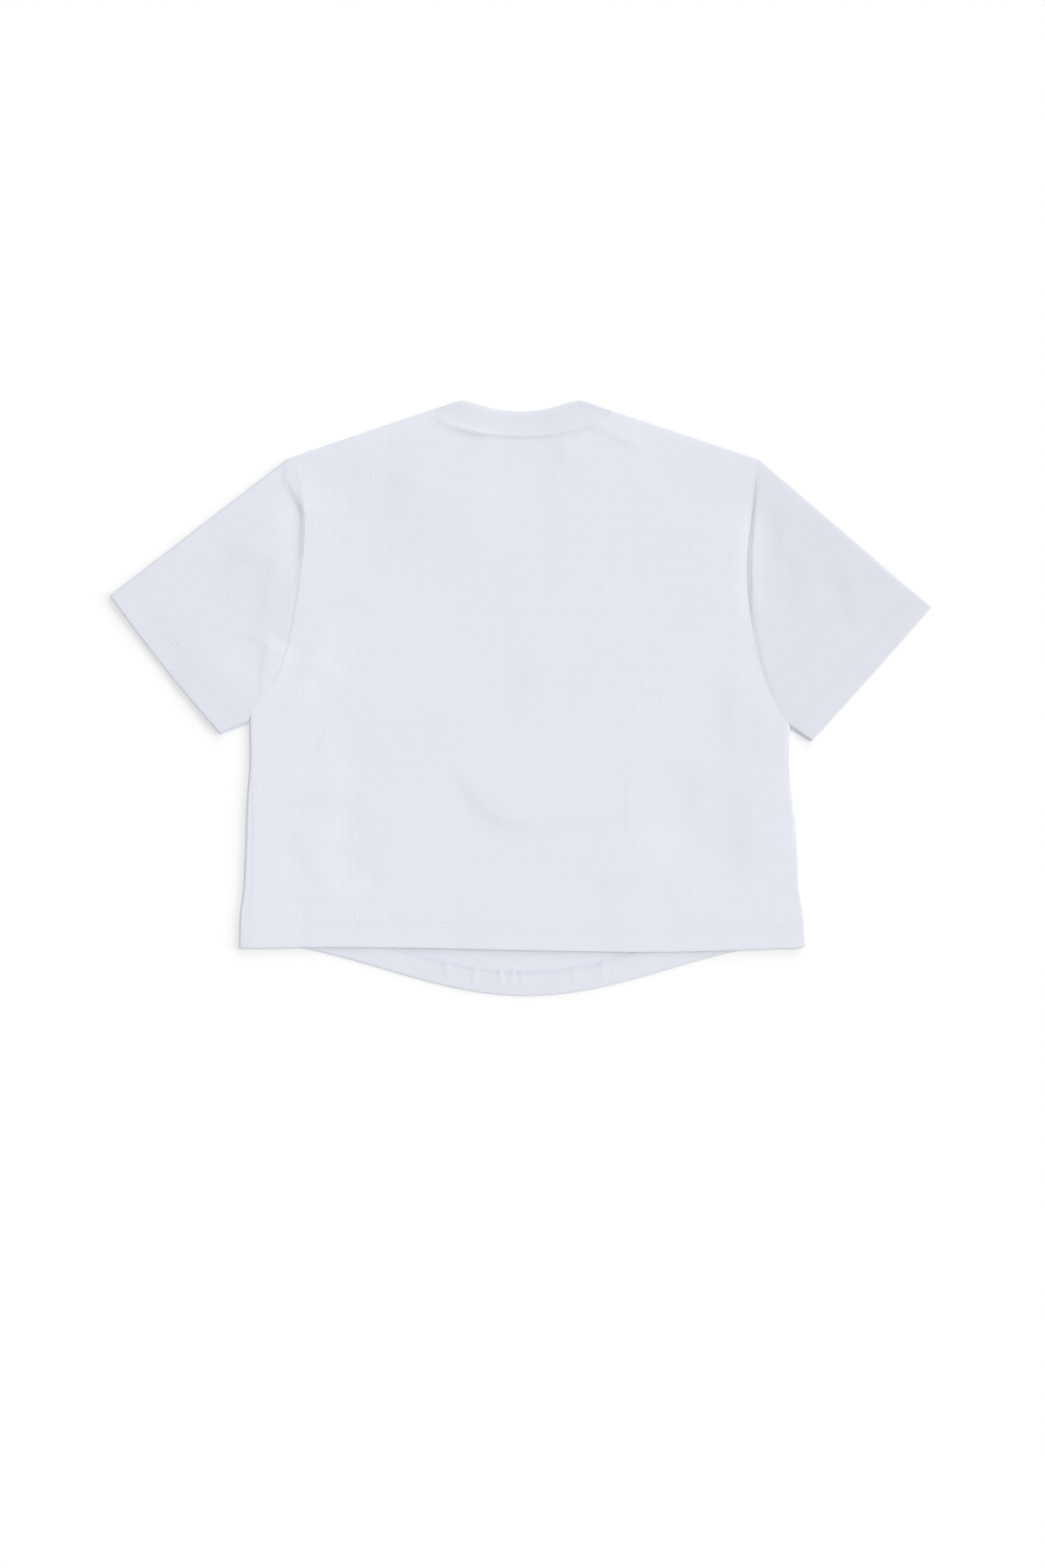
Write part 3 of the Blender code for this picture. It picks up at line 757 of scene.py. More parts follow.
SEAM_PROFILES = (
    SeamProfile(
        LEFT, (Swell(0.0, 0.0006, 0.0180, 0.0045), Swell(0.0060, -0.0011, 0.0040, 0.0150)),
        Curve(((0.0, 0.05), (0.40, 0.1), (0.54, 0.4), (0.66, 0.9), (0.78, 1.0), (0.88, 0.3), (1.0, 0.1))),
    ),
    SeamProfile(
        LEFT, (Swell(0.0018, -0.0003, 0.0010, 0.0022),),
        Curve(((0.0, 0.3), (0.15, 0.6), (0.40, 0.7), (0.55, 0.5), (0.70, 0.2), (1.0, 0.0))),
    ),
    SeamProfile(
        RIGHT, (Swell(0.0015, 0.0005, 0.0009, 0.0015),),
        Curve(((0.0, 0.0), (0.30, 0.0), (0.38, 0.2), (0.50, 0.9), (0.75, 1.0), (0.90, 0.7), (1.0, 0.1))),
    ),
)


# The thin raised line of the back neck seam, the cloth that it holds up, and the dip below it.
NECK_SWELLS = (Swell(-0.0010, 0.0005, 0.0018), Swell(0.0, 0.00065, 0.0144), Swell(0.0060, -0.00025, 0.00396))


@dataclass(frozen=True)
class Relief:
    """Height of the shirt's upper face, and of the small forms on the flap below it.

    Attributes:
        low: Height over the two layers pressed together.
        loft: How much higher than that the cloth lies.
        hem_top: Height over the back's hem where only that is turned.
        stack_top: Height where both hems cross, and over a cuff.
        hem_clear: How far past a hem its thickness carries on.
        hem_slope: Length of the slope down from there, as tight as it could be.
        ease: How many times longer the slopes really are.
        crossing_start: How far from its middle the front's hem starts to cross under the back's.
        crossing_run: Length over which it does.
        neck_top: Height over the neck band in the middle.
        neck_fold_top: Height over the neck band away from the middle.
        neck_fold_start: How far from the middle the one starts to turn into the other.
        neck_fold_run: Length over which it does.
        neck_clear: How far out the band's thickness carries on, 1 for the front's neck seam.
        neck_slope: Length of the slope down from there, in the same measure.
        neck_line_run: How soon the neck's small forms start below the shoulder points.
        tautness: Share of a crease's height that is left at a rim.
        rim_hold: How abruptly the neck's small forms end at a rim.
        bedding: How far the creases may press into the layers below.
        side_raised: How far in from a side's rim the cloth stays raised.
        shoulder_raised: How far in from a shoulder's it does.
        sleeve_top_raised: How far in from a sleeve's upper rim it does.
        sleeve_foot_raised: How far in from a sleeve's lower rim it does.
        back_hem: The back's fold line: its place up the shirt, by the place across.
        front_hem_low: Lowest place of the front's fold line.
        front_hem_rise: Half of how far that line rises to its ends.
        front_hem_half: Half of its width.
        front_hem_x: Its middle, across the shirt.
        corner_dip: How far its ends dip again.
        corner_start: How far from the middle that dip starts.
        corner_run: Length over which it does.
    """

    low: float = 0.0017
    loft: float = 0.0009
    hem_top: float = 0.0025
    stack_top: float = 0.0034
    hem_clear: float = 0.005
    hem_slope: float = 0.020
    ease: float = 3.2
    crossing_start: float = 0.068
    crossing_run: float = 0.030
    neck_top: float = 0.0032
    neck_fold_top: float = 0.0041
    neck_fold_start: float = 0.015
    neck_fold_run: float = 0.030
    neck_clear: float = 1.10
    neck_slope: float = 0.32
    neck_line_run: float = 0.004
    tautness: float = 0.25
    rim_hold: int = 6
    bedding: float = 0.0001
    side_raised: float = 0.105
    shoulder_raised: float = 0.060
    sleeve_top_raised: float = 0.055
    sleeve_foot_raised: float = 0.050
    back_hem: Curve = Curve((
        (-0.2690, -0.2465), (-0.2000, -0.2456), (-0.1200, -0.2460), (0.0200, -0.2490),
        (0.1400, -0.2502), (0.1900, -0.2492), (0.2550, -0.2464), (0.2780, -0.2448), (0.2840, -0.2417),
    ))
    front_hem_low: float = -0.2933
    front_hem_rise: float = 0.026
    front_hem_half: float = 0.278
    front_hem_x: float = 0.006
    corner_dip: float = 0.005
    corner_start: float = 0.272
    corner_run: float = 0.018

    def front_hem(self, x: Array | float) -> Array:
        """The fold line of the front's scooped hem.

        Args:
            x: Places across the shirt.

        Returns:
            The line's place up the shirt at each of them.
        """
        away = np.abs(np.asarray(x) - self.front_hem_x)
        turn = math.pi * np.clip(away, 0, self.front_hem_half) / self.front_hem_half
        corner = smooth((away - self.corner_start) / self.corner_run)
        return self.front_hem_low + self.front_hem_rise * (1 - np.cos(turn)) - self.corner_dip * corner

    def hem(self, layer: Layer, x: Array | float) -> Array:
        """The fold line of a panel's hem."""
        return self.back_hem.at(x) if layer is Layer.UPPER else self.front_hem(x)

    def rims(self) -> list[tuple[Array, Array, float]]:
        """List the rim lines.

        Returns:
            Both ends of each line in plan, and how far in from it the cloth stays raised.
        """
        lines = []
        for side in SIDES:
            levels = [lerp(side.hem[1], side.underarm[1], row[0]) for row in side.outline.rows]
            points = [np.array((float(side.rim_x(y)), y)) for y in levels]
            lines += [(a, b, self.side_raised) for a, b in zip(points, points[1:])]
            peak = (NECK.peak_x + side.sign * NECK.peak_half, NECK.peak_y)
            spans = (
                (side.shoulder_out(), side.tip, peak, self.shoulder_raised),
                (side.sleeve_out(Edge.TOP), side.tip, side.cuff_top, self.sleeve_top_raised),
                (side.sleeve_out(Edge.FOOT), side.underarm, side.cuff_foot, self.sleeve_foot_raised),
            )
            lines += [(a - CLOTH.roll * out, b - CLOTH.roll * out, raised) for out, a, b, raised in spans]
        return lines

    def raised(self, x: Array, y: Array) -> Array:
        """How much each point is held up by a rim.

        Args:
            x: Places across the shirt.
            y: Places up the shirt.

        Returns:
            A share from 0 to 1.
        """
        found = np.zeros_like(x)
        for start, end, reach in self.rims():
            away, _, _ = beside_line(x, y, start, end)
            found = np.maximum(found, smooth(1 - away / reach))
        return found

    def stacked(self, x: Array, y: Array, ease: float) -> Array:
        """Height that the turned hems and the neck band below need.

        Args:
            x: Places across the shirt.
            y: Places up the shirt.
            ease: 1 for the tightest the cloth could lie, and more for how gently it does.

        Returns:
            The height at each point.
        """
        crossing = smooth((np.abs(x - self.front_hem_x) - self.crossing_start) / self.crossing_run)
        past = np.abs(y - self.back_hem.at(x)) - CLOTH.hem_band - self.hem_clear
        over_hem = lerp(self.hem_top, self.stack_top, crossing)
        need = lerp(self.low, over_hem, smooth(1 - past / (ease * self.hem_slope)))
        ring = np.hypot((x - NECK.x) / NECK.half, (y - NECK.y) / NECK.front_drop)
        fold = smooth((np.abs(x) - self.neck_fold_start) / self.neck_fold_run)
        over_neck = smooth(1 - (ring - self.neck_clear) / (ease * self.neck_slope))
        need = np.maximum(need, lerp(self.low, lerp(self.neck_top, self.neck_fold_top, fold), over_neck))
        for side in SIDES:
            away, _, _ = beside_line(x, y, side.cuff_top, side.cuff_foot)
            over_cuff = smooth(1 - (away - CLOTH.hem_band - self.hem_clear) / (ease * self.hem_slope))
            need = np.maximum(need, lerp(self.low, self.stack_top, over_cuff))
        return need

    def neck_roll(self, x: Array, y: Array) -> Array:
        """The small forms along the back neck seam.

        Args:
            x: Places across the shirt.
            y: Places up the shirt.

        Returns:
            The height to add.
        """
        depth = NECK.back_drop + NECK.rise
        ring = np.hypot((x - NECK.x) / NECK.half, (y - NECK.y - NECK.rise) / depth)
        away = (ring - 1) * depth
        below = smooth((NECK.y - y) / self.neck_line_run)
        return below * sum(swell.height(away) for swell in NECK_SWELLS)

    def height(self, x: Array, y: Array) -> Array:
        """Height of the upper layer's outer face.

        Args:
            x: Places across the shirt.
            y: Places up the shirt.

        Returns:
            The height of each point, never so low that the layers below would show through.
        """
        raised, need = self.raised(x, y), self.stacked(x, y, 1.0) + self.under(x, y)
        eased = (self.stacked(x, y, self.ease) - self.low) / (CLOTH.edge_top - self.low)
        lifted = 1 - (1 - raised) * (1 - eased)
        top = np.maximum(lerp(self.low + self.loft, CLOTH.edge_top, lifted), need)
        rise = sum(form.height(x, y) for form in (*FOLDS, *CREASES, *SEAM_PROFILES))
        rise = lerp(1.0, self.tautness, raised) * rise
        neck = (1 - raised**self.rim_hold) * self.neck_roll(x, y)
        return np.maximum(top + rise + neck, need - self.bedding)

    def under(self, x: Array, y: Array) -> Array:
        """How far the shirt's underside lifts off the surface."""
        return sum(crease.height(x, y) for crease in UNDERSIDE_CREASES)

    def flap(self, x: Array, y: Array) -> Array:
        """Puckers of the front's turned hem, where it shows below the back's."""
        return sum(np.abs(pucker.height(x, y)) for pucker in PUCKERS)


RELIEF = Relief()


@dataclass(frozen=True)
class Lay:
    """Rolls flat pattern points into place round the shirt's rims.

    Attributes:
        underarm_run: How far above the underarm the side's rim line still counts.
    """

    underarm_run: float = 0.014

    def past_rim(self, x: Array, y: Array) -> tuple[Array, Array]:
        """Set pattern points against the rim lines.

        Args:
            x: Places across the pattern.
            y: Places up the pattern.

        Returns:
            How far each point lies past its nearest rim line, below zero inside it, and the way
            out across that line.
        """
        reach = np.full(x.shape, -FAR)
        out = np.zeros(x.shape + (2,))
        for side in SIDES:
            below = y < side.underarm[1] + self.underarm_run
            beside = np.where(below, side.sign * (x - side.rim_x(y)), -FAR)
            normal = side.shoulder_out()
            above = (x - side.tip[0]) * normal[0] + (y - side.tip[1]) * normal[1] + CLOTH.roll
            above = np.where(side.sign * x > 0, above, -FAR)
            for found, way in ((beside, (side.sign, 0.0)), (above, normal)):
                nearer = found > reach
                reach = np.where(nearer, found, reach)
                out[nearer] = way
        return reach, out

    def place(self, points: Array, layer: Layer, depth: Array | float = 0.0) -> Array:
        """Lay pattern points.

        Args:
            points: Pattern points, in plan.
            layer: The upper or the lower layer.
            depth: How far inside the outer face they lie.

        Returns:
            The points in space.
        """
        x, y = points[..., 0], points[..., 1]
        reach, out = self.past_rim(x, y)
        half_turn = 2 * CLOTH.quarter
        turned = np.clip(reach, 0, half_turn)
        angle = turned / CLOTH.roll
        on = np.maximum(reach - half_turn, 0)
        radius = CLOTH.roll - depth
        shift = np.where(reach > 0, radius * np.sin(angle) - turned - 2 * on, 0.0)
        plan = points + out * shift[..., None]
        climb = depth + radius * (1 - np.cos(angle))
        top = RELIEF.height(plan[..., 0], plan[..., 1])
        if layer is Layer.UPPER:
            z = np.where(reach > 0, CLOTH.edge_top - climb, top - depth)
        else:
            z = np.where(reach > half_turn, top - depth, climb)
            z = np.where(reach > 0, z, depth + RELIEF.under(x, y))
        return np.concatenate([plan, z[..., None]], axis=-1)


LAY = Lay()


@dataclass(frozen=True)
class Weave:
    """Spacing of a knit's wales and courses, and how deep its loops are. Metres."""

    wale: float = 0.0011
    course: float = 0.0009
    depth: float = 0.00016


def new_material(
    name: str, colour: Colour, roughness: float, specular: float = 0.25
) -> tuple[bpy.types.Material, bpy.types.Node]:
    """Start a material.

    Args:
        name: Its name.
        colour: Base colour of the shader.
        roughness: Roughness of the shader.
        specular: Strength of its highlights.

    Returns:
        The material and its Principled shader.
    """
    material = bpy.data.materials.new(name)
    material.use_nodes = True
    shader = material.node_tree.nodes["Principled BSDF"]
    shader.inputs["Base Color"].default_value = colour
    shader.inputs["Roughness"].default_value = roughness
    shader.inputs["Specular IOR Level"].default_value = specular
    return material, shader


def mathed(tree: bpy.types.NodeTree, operation: str, a: object, b: object = 0.0) -> bpy.types.NodeSocket:
    """Add a Math node.

    Args:
        tree: The material's nodes.
        operation: What it works out.
        a: The socket or number that feeds it.
        b: The second one, if it takes two.

    Returns:
        The socket of its result.
    """
    node = tree.nodes.new("ShaderNodeMath")
    node.operation = operation
    for socket, value in zip(node.inputs, (a, b)):
        if isinstance(value, bpy.types.NodeSocket):
            tree.links.new(value, socket)
        else:
            socket.default_value = value
    return node.outputs[0]


def noise(
    tree: bpy.types.NodeTree, place: bpy.types.NodeSocket, scale: float, detail: float
) -> bpy.types.NodeSocket:
    """Add a noise texture.

    Args:
        tree: The material's nodes.
        place: The coordinates that it reads.
        scale: How fine it is.
        detail: How many finer layers it has.

    Returns:
        The socket of its value.
    """
    node = tree.nodes.new("ShaderNodeTexNoise")
    node.inputs["Scale"].default_value = scale
    node.inputs["Detail"].default_value = detail
    tree.links.new(place, node.inputs["Vector"])
    return node.outputs["Fac"]


def raised_by(
    tree: bpy.types.NodeTree,
    height: bpy.types.NodeSocket,
    depth: float,
    under: bpy.types.NodeSocket | None = None,
    strength: float = 0.6,
) -> bpy.types.NodeSocket:
    """Add a bump.

    Args:
        tree: The material's nodes.
        height: The socket that it follows.
        depth: How deep it is, in metres.
        under: The normal of a bump that it lies over, if there is one.
        strength: How strongly it shows.

    Returns:
        The socket of its normal.
    """
    node = tree.nodes.new("ShaderNodeBump")
    node.inputs["Strength"].default_value = strength
    node.inputs["Distance"].default_value = depth
    tree.links.new(height, node.inputs["Height"])
    if under is not None:
        tree.links.new(under, node.inputs["Normal"])
    return node.outputs[0]


@dataclass(frozen=True)
class KnitFinish:
    """A cotton knit: loops along the cut, a soft fuzz and a very slight unevenness of colour.

    Attributes:
        name: The material's name.
        colour: Its colour.
        shade: The colour of its darker patches.
        weave: Spacing and depth of the knit.
        roughness: Roughness of the shader.
        sheen: Strength of its sheen.
        sheen_roughness: Roughness of its sheen.
        broad_scale: How fine the broad patches are.
        mottle_scale: How fine the small ones are.
        broad_share: The broad ones' share of the unevenness.
        shade_below: Level of the noise below which it is all shade.
        colour_above: Level of the noise above which it is all colour.
        fuzz_scale: How fine the fuzz is.
        fuzz_depth: How deep the fuzz is.
        loop_lean: How far a course is shifted at a wale's crest, in radians of its wave.
        course_share: Height of the courses' wave, for 1 as the wales'.
    """

    name: str
    colour: Colour
    shade: Colour
    weave: Weave
    roughness: float = 0.92
    sheen: float = 0.12
    sheen_roughness: float = 0.6
    broad_scale: float = 9.0
    mottle_scale: float = 260.0
    broad_share: float = 0.7
    shade_below: float = 0.30
    colour_above: float = 0.62
    fuzz_scale: float = 900.0
    fuzz_depth: float = 0.00012
    loop_lean: float = 2.2
    course_share: float = 0.3

    def material(self) -> bpy.types.Material:
        """Build the material.

        Returns:
            A material that reads the piece's own "cut" attribute, in metres.
        """
        material, shader = new_material(self.name, self.colour, self.roughness)
        shader.inputs["Sheen Weight"].default_value = self.sheen
        shader.inputs["Sheen Roughness"].default_value = self.sheen_roughness
        tree = material.node_tree
        place = tree.nodes.new("ShaderNodeTexCoord").outputs["Object"]

        broad = mathed(tree, "MULTIPLY", noise(tree, place, self.broad_scale, 3.0), self.broad_share)
        mottle = mathed(tree, "MULTIPLY", noise(tree, place, self.mottle_scale, 4.0), 1 - self.broad_share)
        ramp = tree.nodes.new("ShaderNodeValToRGB")
        low, high = ramp.color_ramp.elements
        low.position, high.position = self.shade_below, self.colour_above
        low.color, high.color = self.shade, self.colour
        tree.links.new(mathed(tree, "ADD", broad, mottle), ramp.inputs[0])
        tree.links.new(ramp.outputs[0], shader.inputs["Base Color"])

        fuzz = noise(tree, place, self.fuzz_scale, 3.0)
        knit = raised_by(tree, self.loops(tree), self.weave.depth)
        tree.links.new(raised_by(tree, fuzz, self.fuzz_depth, knit), shader.inputs["Normal"])
        return material

    def loops(self, tree: bpy.types.NodeTree) -> bpy.types.NodeSocket:
        """Work out the knitted loops, rows of small V shapes.

        Args:
            tree: The material's nodes.

        Returns:
            The socket of their height.
        """
        cut = tree.nodes.new("ShaderNodeAttribute")
        cut.attribute_name = "cut"
        split = tree.nodes.new("ShaderNodeSeparateXYZ")
        tree.links.new(cut.outputs["Vector"], split.inputs[0])
        across = mathed(tree, "MULTIPLY", split.outputs["X"], math.pi / self.weave.wale)
        wale = mathed(tree, "ABSOLUTE", mathed(tree, "SINE", across))
        lean = mathed(tree, "MULTIPLY", wale, self.loop_lean)
        up = mathed(tree, "MULTIPLY", split.outputs["Y"], 2 * math.pi / self.weave.course)
        course = mathed(tree, "SINE", mathed(tree, "ADD", up, lean))
        return mathed(tree, "ADD", wale, mathed(tree, "MULTIPLY", course, self.course_share))


@dataclass(frozen=True)
class ThreadFinish:
    """Spun polyester sewing thread: a fine twist and a faint gloss.

    Attributes:
        name: The material's name.
        colour: Its colour.
        roughness: Roughness of the shader.
        twist: How fine the twist is.
        twist_depth: How deep the twist is.
    """

    name: str
    colour: Colour
    roughness: float = 0.62
    twist: float = 2600.0
    twist_depth: float = 0.00006

    def material(self) -> bpy.types.Material:
        """Build the material.

        Returns:
            A material that reads the piece's own place.
        """
        material, shader = new_material(self.name, self.colour, self.roughness)
        tree = material.node_tree
        place = tree.nodes.new("ShaderNodeTexCoord").outputs["Object"]
        ply = noise(tree, place, self.twist, 2.0)
        tree.links.new(raised_by(tree, ply, self.twist_depth), shader.inputs["Normal"])
        return material


@dataclass(frozen=True)
class SurfaceFinish:
    """The pale seamless surface that the shirt lies on."""

    name: str = "seamless_white"
    colour: Colour = (0.866, 0.866, 0.866, 1.0)

    def material(self) -> bpy.types.Material:
        """Build the material."""
        material, _ = new_material(self.name, self.colour, roughness=1.0, specular=0.0)
        return material


JERSEY_COLOUR: Colour = (0.688, 0.708, 0.774, 1.0)
JERSEY_SHADE: Colour = (0.674, 0.694, 0.760, 1.0)
# The rib's colours are partly its own tone and partly painted shade: set darker than the jersey's for the
# dimmer light on the collar.
RIB_TONE_AND_PAINTED_SHADE: Colour = (0.664, 0.684, 0.747, 1.0)
RIB_PATCHES_AND_PAINTED_SHADE: Colour = (0.648, 0.668, 0.731, 1.0)

# Painted shade: how much darker each piece's colour is set, standing in for the dimmer light on the sleeves
# and the front.
PIECE_PAINTED_SHADE = {"front": 0.985, "back": 1.0, "sleeve_left": 0.968, "sleeve_right": 0.955}


def toned(colour: Colour, tone: float) -> Colour:
    """A colour a little darker or lighter."""
    return (colour[0] * tone, colour[1] * tone, colour[2] * tone, 1.0)


def jersey(node: str) -> bpy.types.Material:
    """The jersey's material for one piece, its colour darkened by that piece's painted shade."""
    colours = [toned(colour, PIECE_PAINTED_SHADE[node]) for colour in (JERSEY_COLOUR, JERSEY_SHADE)]
    return KnitFinish(f"jersey_{node}", *colours, Weave()).material()


@dataclass
class ClothPiece:
    """A piece of cloth built between its outer and inner faces, on one CAD node.

    Attributes:
        name: The object's name.
        node: The CAD node that it belongs to.
        slot: Its material slot.
        weld: How close together points are merged.
        crisp: The angle from which an edge is left sharp.
    """

    name: str
    node: str
    slot: str
    weld: float = 1e-6
    crisp: float = math.radians(55)

    @staticmethod
    def add_grid(mesh: bmesh.types.BMesh, rows: Array, cut: Array) -> None:
        """Add a grid of faces through rows of points.

        Args:
            mesh: The mesh that takes them.
            rows: Points in space, row by row.
            cut: The pattern place of each point, in metres.
        """
        across, along = rows.shape[1] - 1, rows.shape[0] - 1
        layer = mesh.verts.layers.float_vector.get("cut") or mesh.verts.layers.float_vector.new("cut")
        made = bmesh.ops.create_grid(mesh, x_segments=across, y_segments=along, size=1.0)["verts"]
        for vert in made:
            i = round((vert.co.x + 1) / 2 * across)
            j = round((vert.co.y + 1) / 2 * along)
            vert.co = rows[j, i]
            vert[layer] = (cut[j, i, 0], cut[j, i, 1], 0.0)

    def build(self, outer: Array, inner: Array, cut: Array, closed: bool) -> bpy.types.Object:
        """Make the piece's object.

        Args:
            outer: Points of the outer face, row by row.
            inner: Points of the inner face, in the same order.
            cut: The pattern place of each point.
            closed: True for a tube or ring, whose rows join round.

        Returns:
            The new object, linked and smooth shaded.
        """
        wall = bmesh.new()
        if closed:
            rows = np.concatenate([outer, inner[::-1], outer[:1]])
            places = np.concatenate([cut, cut[::-1], cut[:1]])
            rows, places = (np.concatenate([part, part[:, :1]], axis=1) for part in (rows, places))
            self.add_grid(wall, rows, places)
            bmesh.ops.remove_doubles(wall, verts=wall.verts, dist=self.weld)
        else:
            self.add_grid(wall, outer, cut)
            self.add_grid(wall, inner, cut)
            bmesh.ops.bridge_loops(wall, edges=[edge for edge in wall.edges if edge.is_boundary])
        self.face_outwards(wall)
        for edge in wall.edges:
            edge.smooth = edge.calc_face_angle(0.0) < self.crisp
        return self.linked(wall)

    @staticmethod
    def face_outwards(made: bmesh.types.BMesh) -> None:
        """Turn a bmesh's faces outwards and smooth them.

        Args:
            made: The bmesh.
        """
        bmesh.ops.recalc_face_normals(made, faces=made.faces)
        for face in made.faces:
            face.smooth = True

    def linked(self, made: bmesh.types.BMesh) -> bpy.types.Object:
        """Turn a finished bmesh into a linked object of this name.

        Args:
            made: The bmesh, which is freed.

        Returns:
            The new object.
        """
        mesh = bpy.data.meshes.new(self.name)
        made.to_mesh(mesh)
        made.free()
        piece = bpy.data.objects.new(self.name, mesh)
        bpy.context.scene.collection.objects.link(piece)
        return piece

    def settle(self, piece: bpy.types.Object, material: bpy.types.Material) -> None:
        """Give a piece its finish and body, and hide its CAD node.

        Args:
            piece: The piece's object.
            material: Its finish.
        """
        piece.data.materials.append(material)
        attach(piece, "root")
        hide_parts(self.node)


@dataclass
class Panel(ClothPiece):
    """The front or the back, from its turned hem to its shoulders and neck.

    Attributes:
        layer: The front is the lower one, and the back the upper one.
        underarm_at: Share of the pattern's edge at which the underarm lies.
        side_spread: Share of the width over which an edge's shape dies out.
        first_share: Share of the side seam at which the rows above the hem start.
        last_share: Share of the armhole at which the rows below the shoulder end.
        about_tall: About how tall the pattern is, to set how many rows and columns there are.
        side_length: About how long the side seam is, for the same use.
        armhole_length: About how long the armhole is, too.
        shoulder_length: About how long the shoulder is, too.
        fill_width: About how wide the gap between the close columns and the even ones is, too.
        ridge_width: Width of the strip of close columns beside a seam's roll.
        ridge_columns: How many columns it has.
        first_column: Share of the top line at which the even columns start.
        full_slip: The most that a side seam slips round.
        hem_rows: How far above the hem's turn each of its rows lies.
        side_shares: Share of the side seam at which each row above them lies.
        points: The pattern points, row by row.
    """

    layer: Layer = Layer.UPPER
    underarm_at: float = 0.458
    side_spread: float = 0.26
    first_share: float = 0.14
    last_share: float = 0.968
    about_tall: float = 0.48
    side_length: float = 0.21
    armhole_length: float = 0.27
    shoulder_length: float = 0.15
    fill_width: float = 0.012
    ridge_width: float = 0.0105
    ridge_columns: int = 3
    first_column: float = 0.062
    full_slip: float = 0.0112
    hem_rows: Array = field(init=False)
    side_shares: Array = field(init=False)
    points: Array = field(init=False)

    def __post_init__(self) -> None:
        """Work out the rows and the pattern."""
        self.hem_rows = np.linspace(0.0, CLOTH.hem_turned, CLOTH.steps(CLOTH.hem_turned) + 1)
        self.side_shares = np.linspace(self.first_share, 1.0, CLOTH.steps(self.side_length) + 1)[:-1]
        self.points = self.pattern()

    def edge(self, side: Side, v: Array) -> Array:
        """Left or right edge of the pattern: side seam, then armhole.

        Args:
            side: Which of the two.
            v: Shares of the edge, from the hem (0) to the shoulder tip (1).

        Returns:
            One point for each share.
        """
        share = np.clip(v / self.underarm_at, 0, 1)
        foot_x = side.rim_x(side.hem[1]) + side.sign * side.reach(self.layer, 0.0)
        y = lerp(RELIEF.hem(self.layer, foot_x), side.underarm[1], share)
        below = np.stack([side.rim_x(y) + side.sign * side.reach(self.layer, share), y], axis=-1)
        above = side.armhole(np.clip((v - self.underarm_at) / (1 - self.underarm_at), 0, 1), self.layer)
        return np.where((v <= self.underarm_at)[..., None], below, above)

    def top_line(self) -> tuple[Array, Array]:
        """Shoulder, neck and shoulder of the pattern.

        Returns:
            The line's points, and the share of the line at each of them.
        """
        neck = NECK.seam(NECK.angles(self.layer, CLOTH.pitch), self.layer, NECK.gap)
        tips = [np.add(side.tip, (CLOTH.seam - CLOTH.roll) * side.shoulder_out()) for side in SIDES]
        steps = np.linspace(0, 1, CLOTH.steps(self.shoulder_length) + 1)[:, None]
        left, right = lerp(tips[0], neck[0], steps)[:-1], lerp(neck[-1], tips[1], steps)[1:]
        points = np.concatenate([left, neck, right])
        run = np.cumsum(np.linalg.norm(np.diff(points, axis=0), axis=1))
        return points, np.concatenate([[0.0], run / run[-1]])

    def patch(self, u: Array, v: Array) -> Array:
        """Points of the pattern, spanned between its four edges.

        Args:
            u: Shares across, from the left (0) to the right (1).
            v: Shares up, from the hem (0) to the top line (1).

        Returns:
            One point for each pair of shares.
        """
        tops, at = self.top_line()
        top = np.stack([np.interp(u, at, tops[:, k]) for k in (0, 1)], axis=-1)
        sides = [self.edge(side, v) for side in SIDES]
        corners = [self.edge(side, np.zeros(1))[0] for side in SIDES]
        hem_x = lerp(corners[0][0], corners[1][0], u)
        hem = np.stack([hem_x, RELIEF.hem(self.layer, hem_x)], axis=-1)
        u, v = u[..., None], v[..., None]
        left = sides[0] - lerp(corners[0], tops[0], v)
        right = sides[1] - lerp(corners[1], tops[-1], v)
        spread = smooth(1 - u / self.side_spread), smooth(1 - (1 - u) / self.side_spread)
        return lerp(hem, top, v) + spread[0] * left + spread[1] * right

    def heights(self, u: Array) -> Array:
        """Height of the pattern's columns.

        Args:
            u: Shares across, one for each column.

        Returns:
            The height of each column.
        """
        tops, at = self.top_line()
        ends = [self.edge(side, np.zeros(1))[0][0] for side in SIDES]
        return np.interp(u, at, tops[:, 1]) - RELIEF.hem(self.layer, lerp(ends[0], ends[1], u))

    def edge_offsets(self, side: Side, v: float) -> list[float]:
        """Place a row's close columns.

        Args:
            side: The edge that they lie along.
            v: The row's share of that edge.

        Returns:
            How far in from the edge each of them lies.
        """
        if self.layer is Layer.LOWER and side is LEFT:
            count = 2 * CLOTH.roll_steps
            reach = float(side.reach(self.layer, min(v / self.underarm_at, 1.0)))
            weight = float(smooth((reach - CLOTH.seam) / self.full_slip))
            half_turn = 2 * CLOTH.quarter
            rolled = [0.0] + [reach - half_turn * (1 - (k - 1) / (count - 1)) for k in range(1, count + 1)]
            offsets = [lerp(reach * k / count, offset, weight) for k, offset in enumerate(rolled)]
        else:
            offsets = [CLOTH.seam * k / CLOTH.roll_steps for k in range(CLOTH.roll_steps + 1)]
        ridge = self.ridge_width / self.ridge_columns
        return offsets + [offsets[-1] + ridge * (k + 1) for k in range(self.ridge_columns)]

    @staticmethod
    def share_up(kind: RowPlace, value: float, tall: Array | float) -> Array | float:
        """Work out how far up the pattern a row lies.

        Args:
            kind: What the row's place is measured by.
            value: The row's place.
            tall: The pattern's height, or the height of each column.

        Returns:
            The row's share of that height.
        """
        if kind is RowPlace.SHARE:
            return value * np.ones_like(tall)
        return value / tall if kind is RowPlace.UP else 1 - value / tall

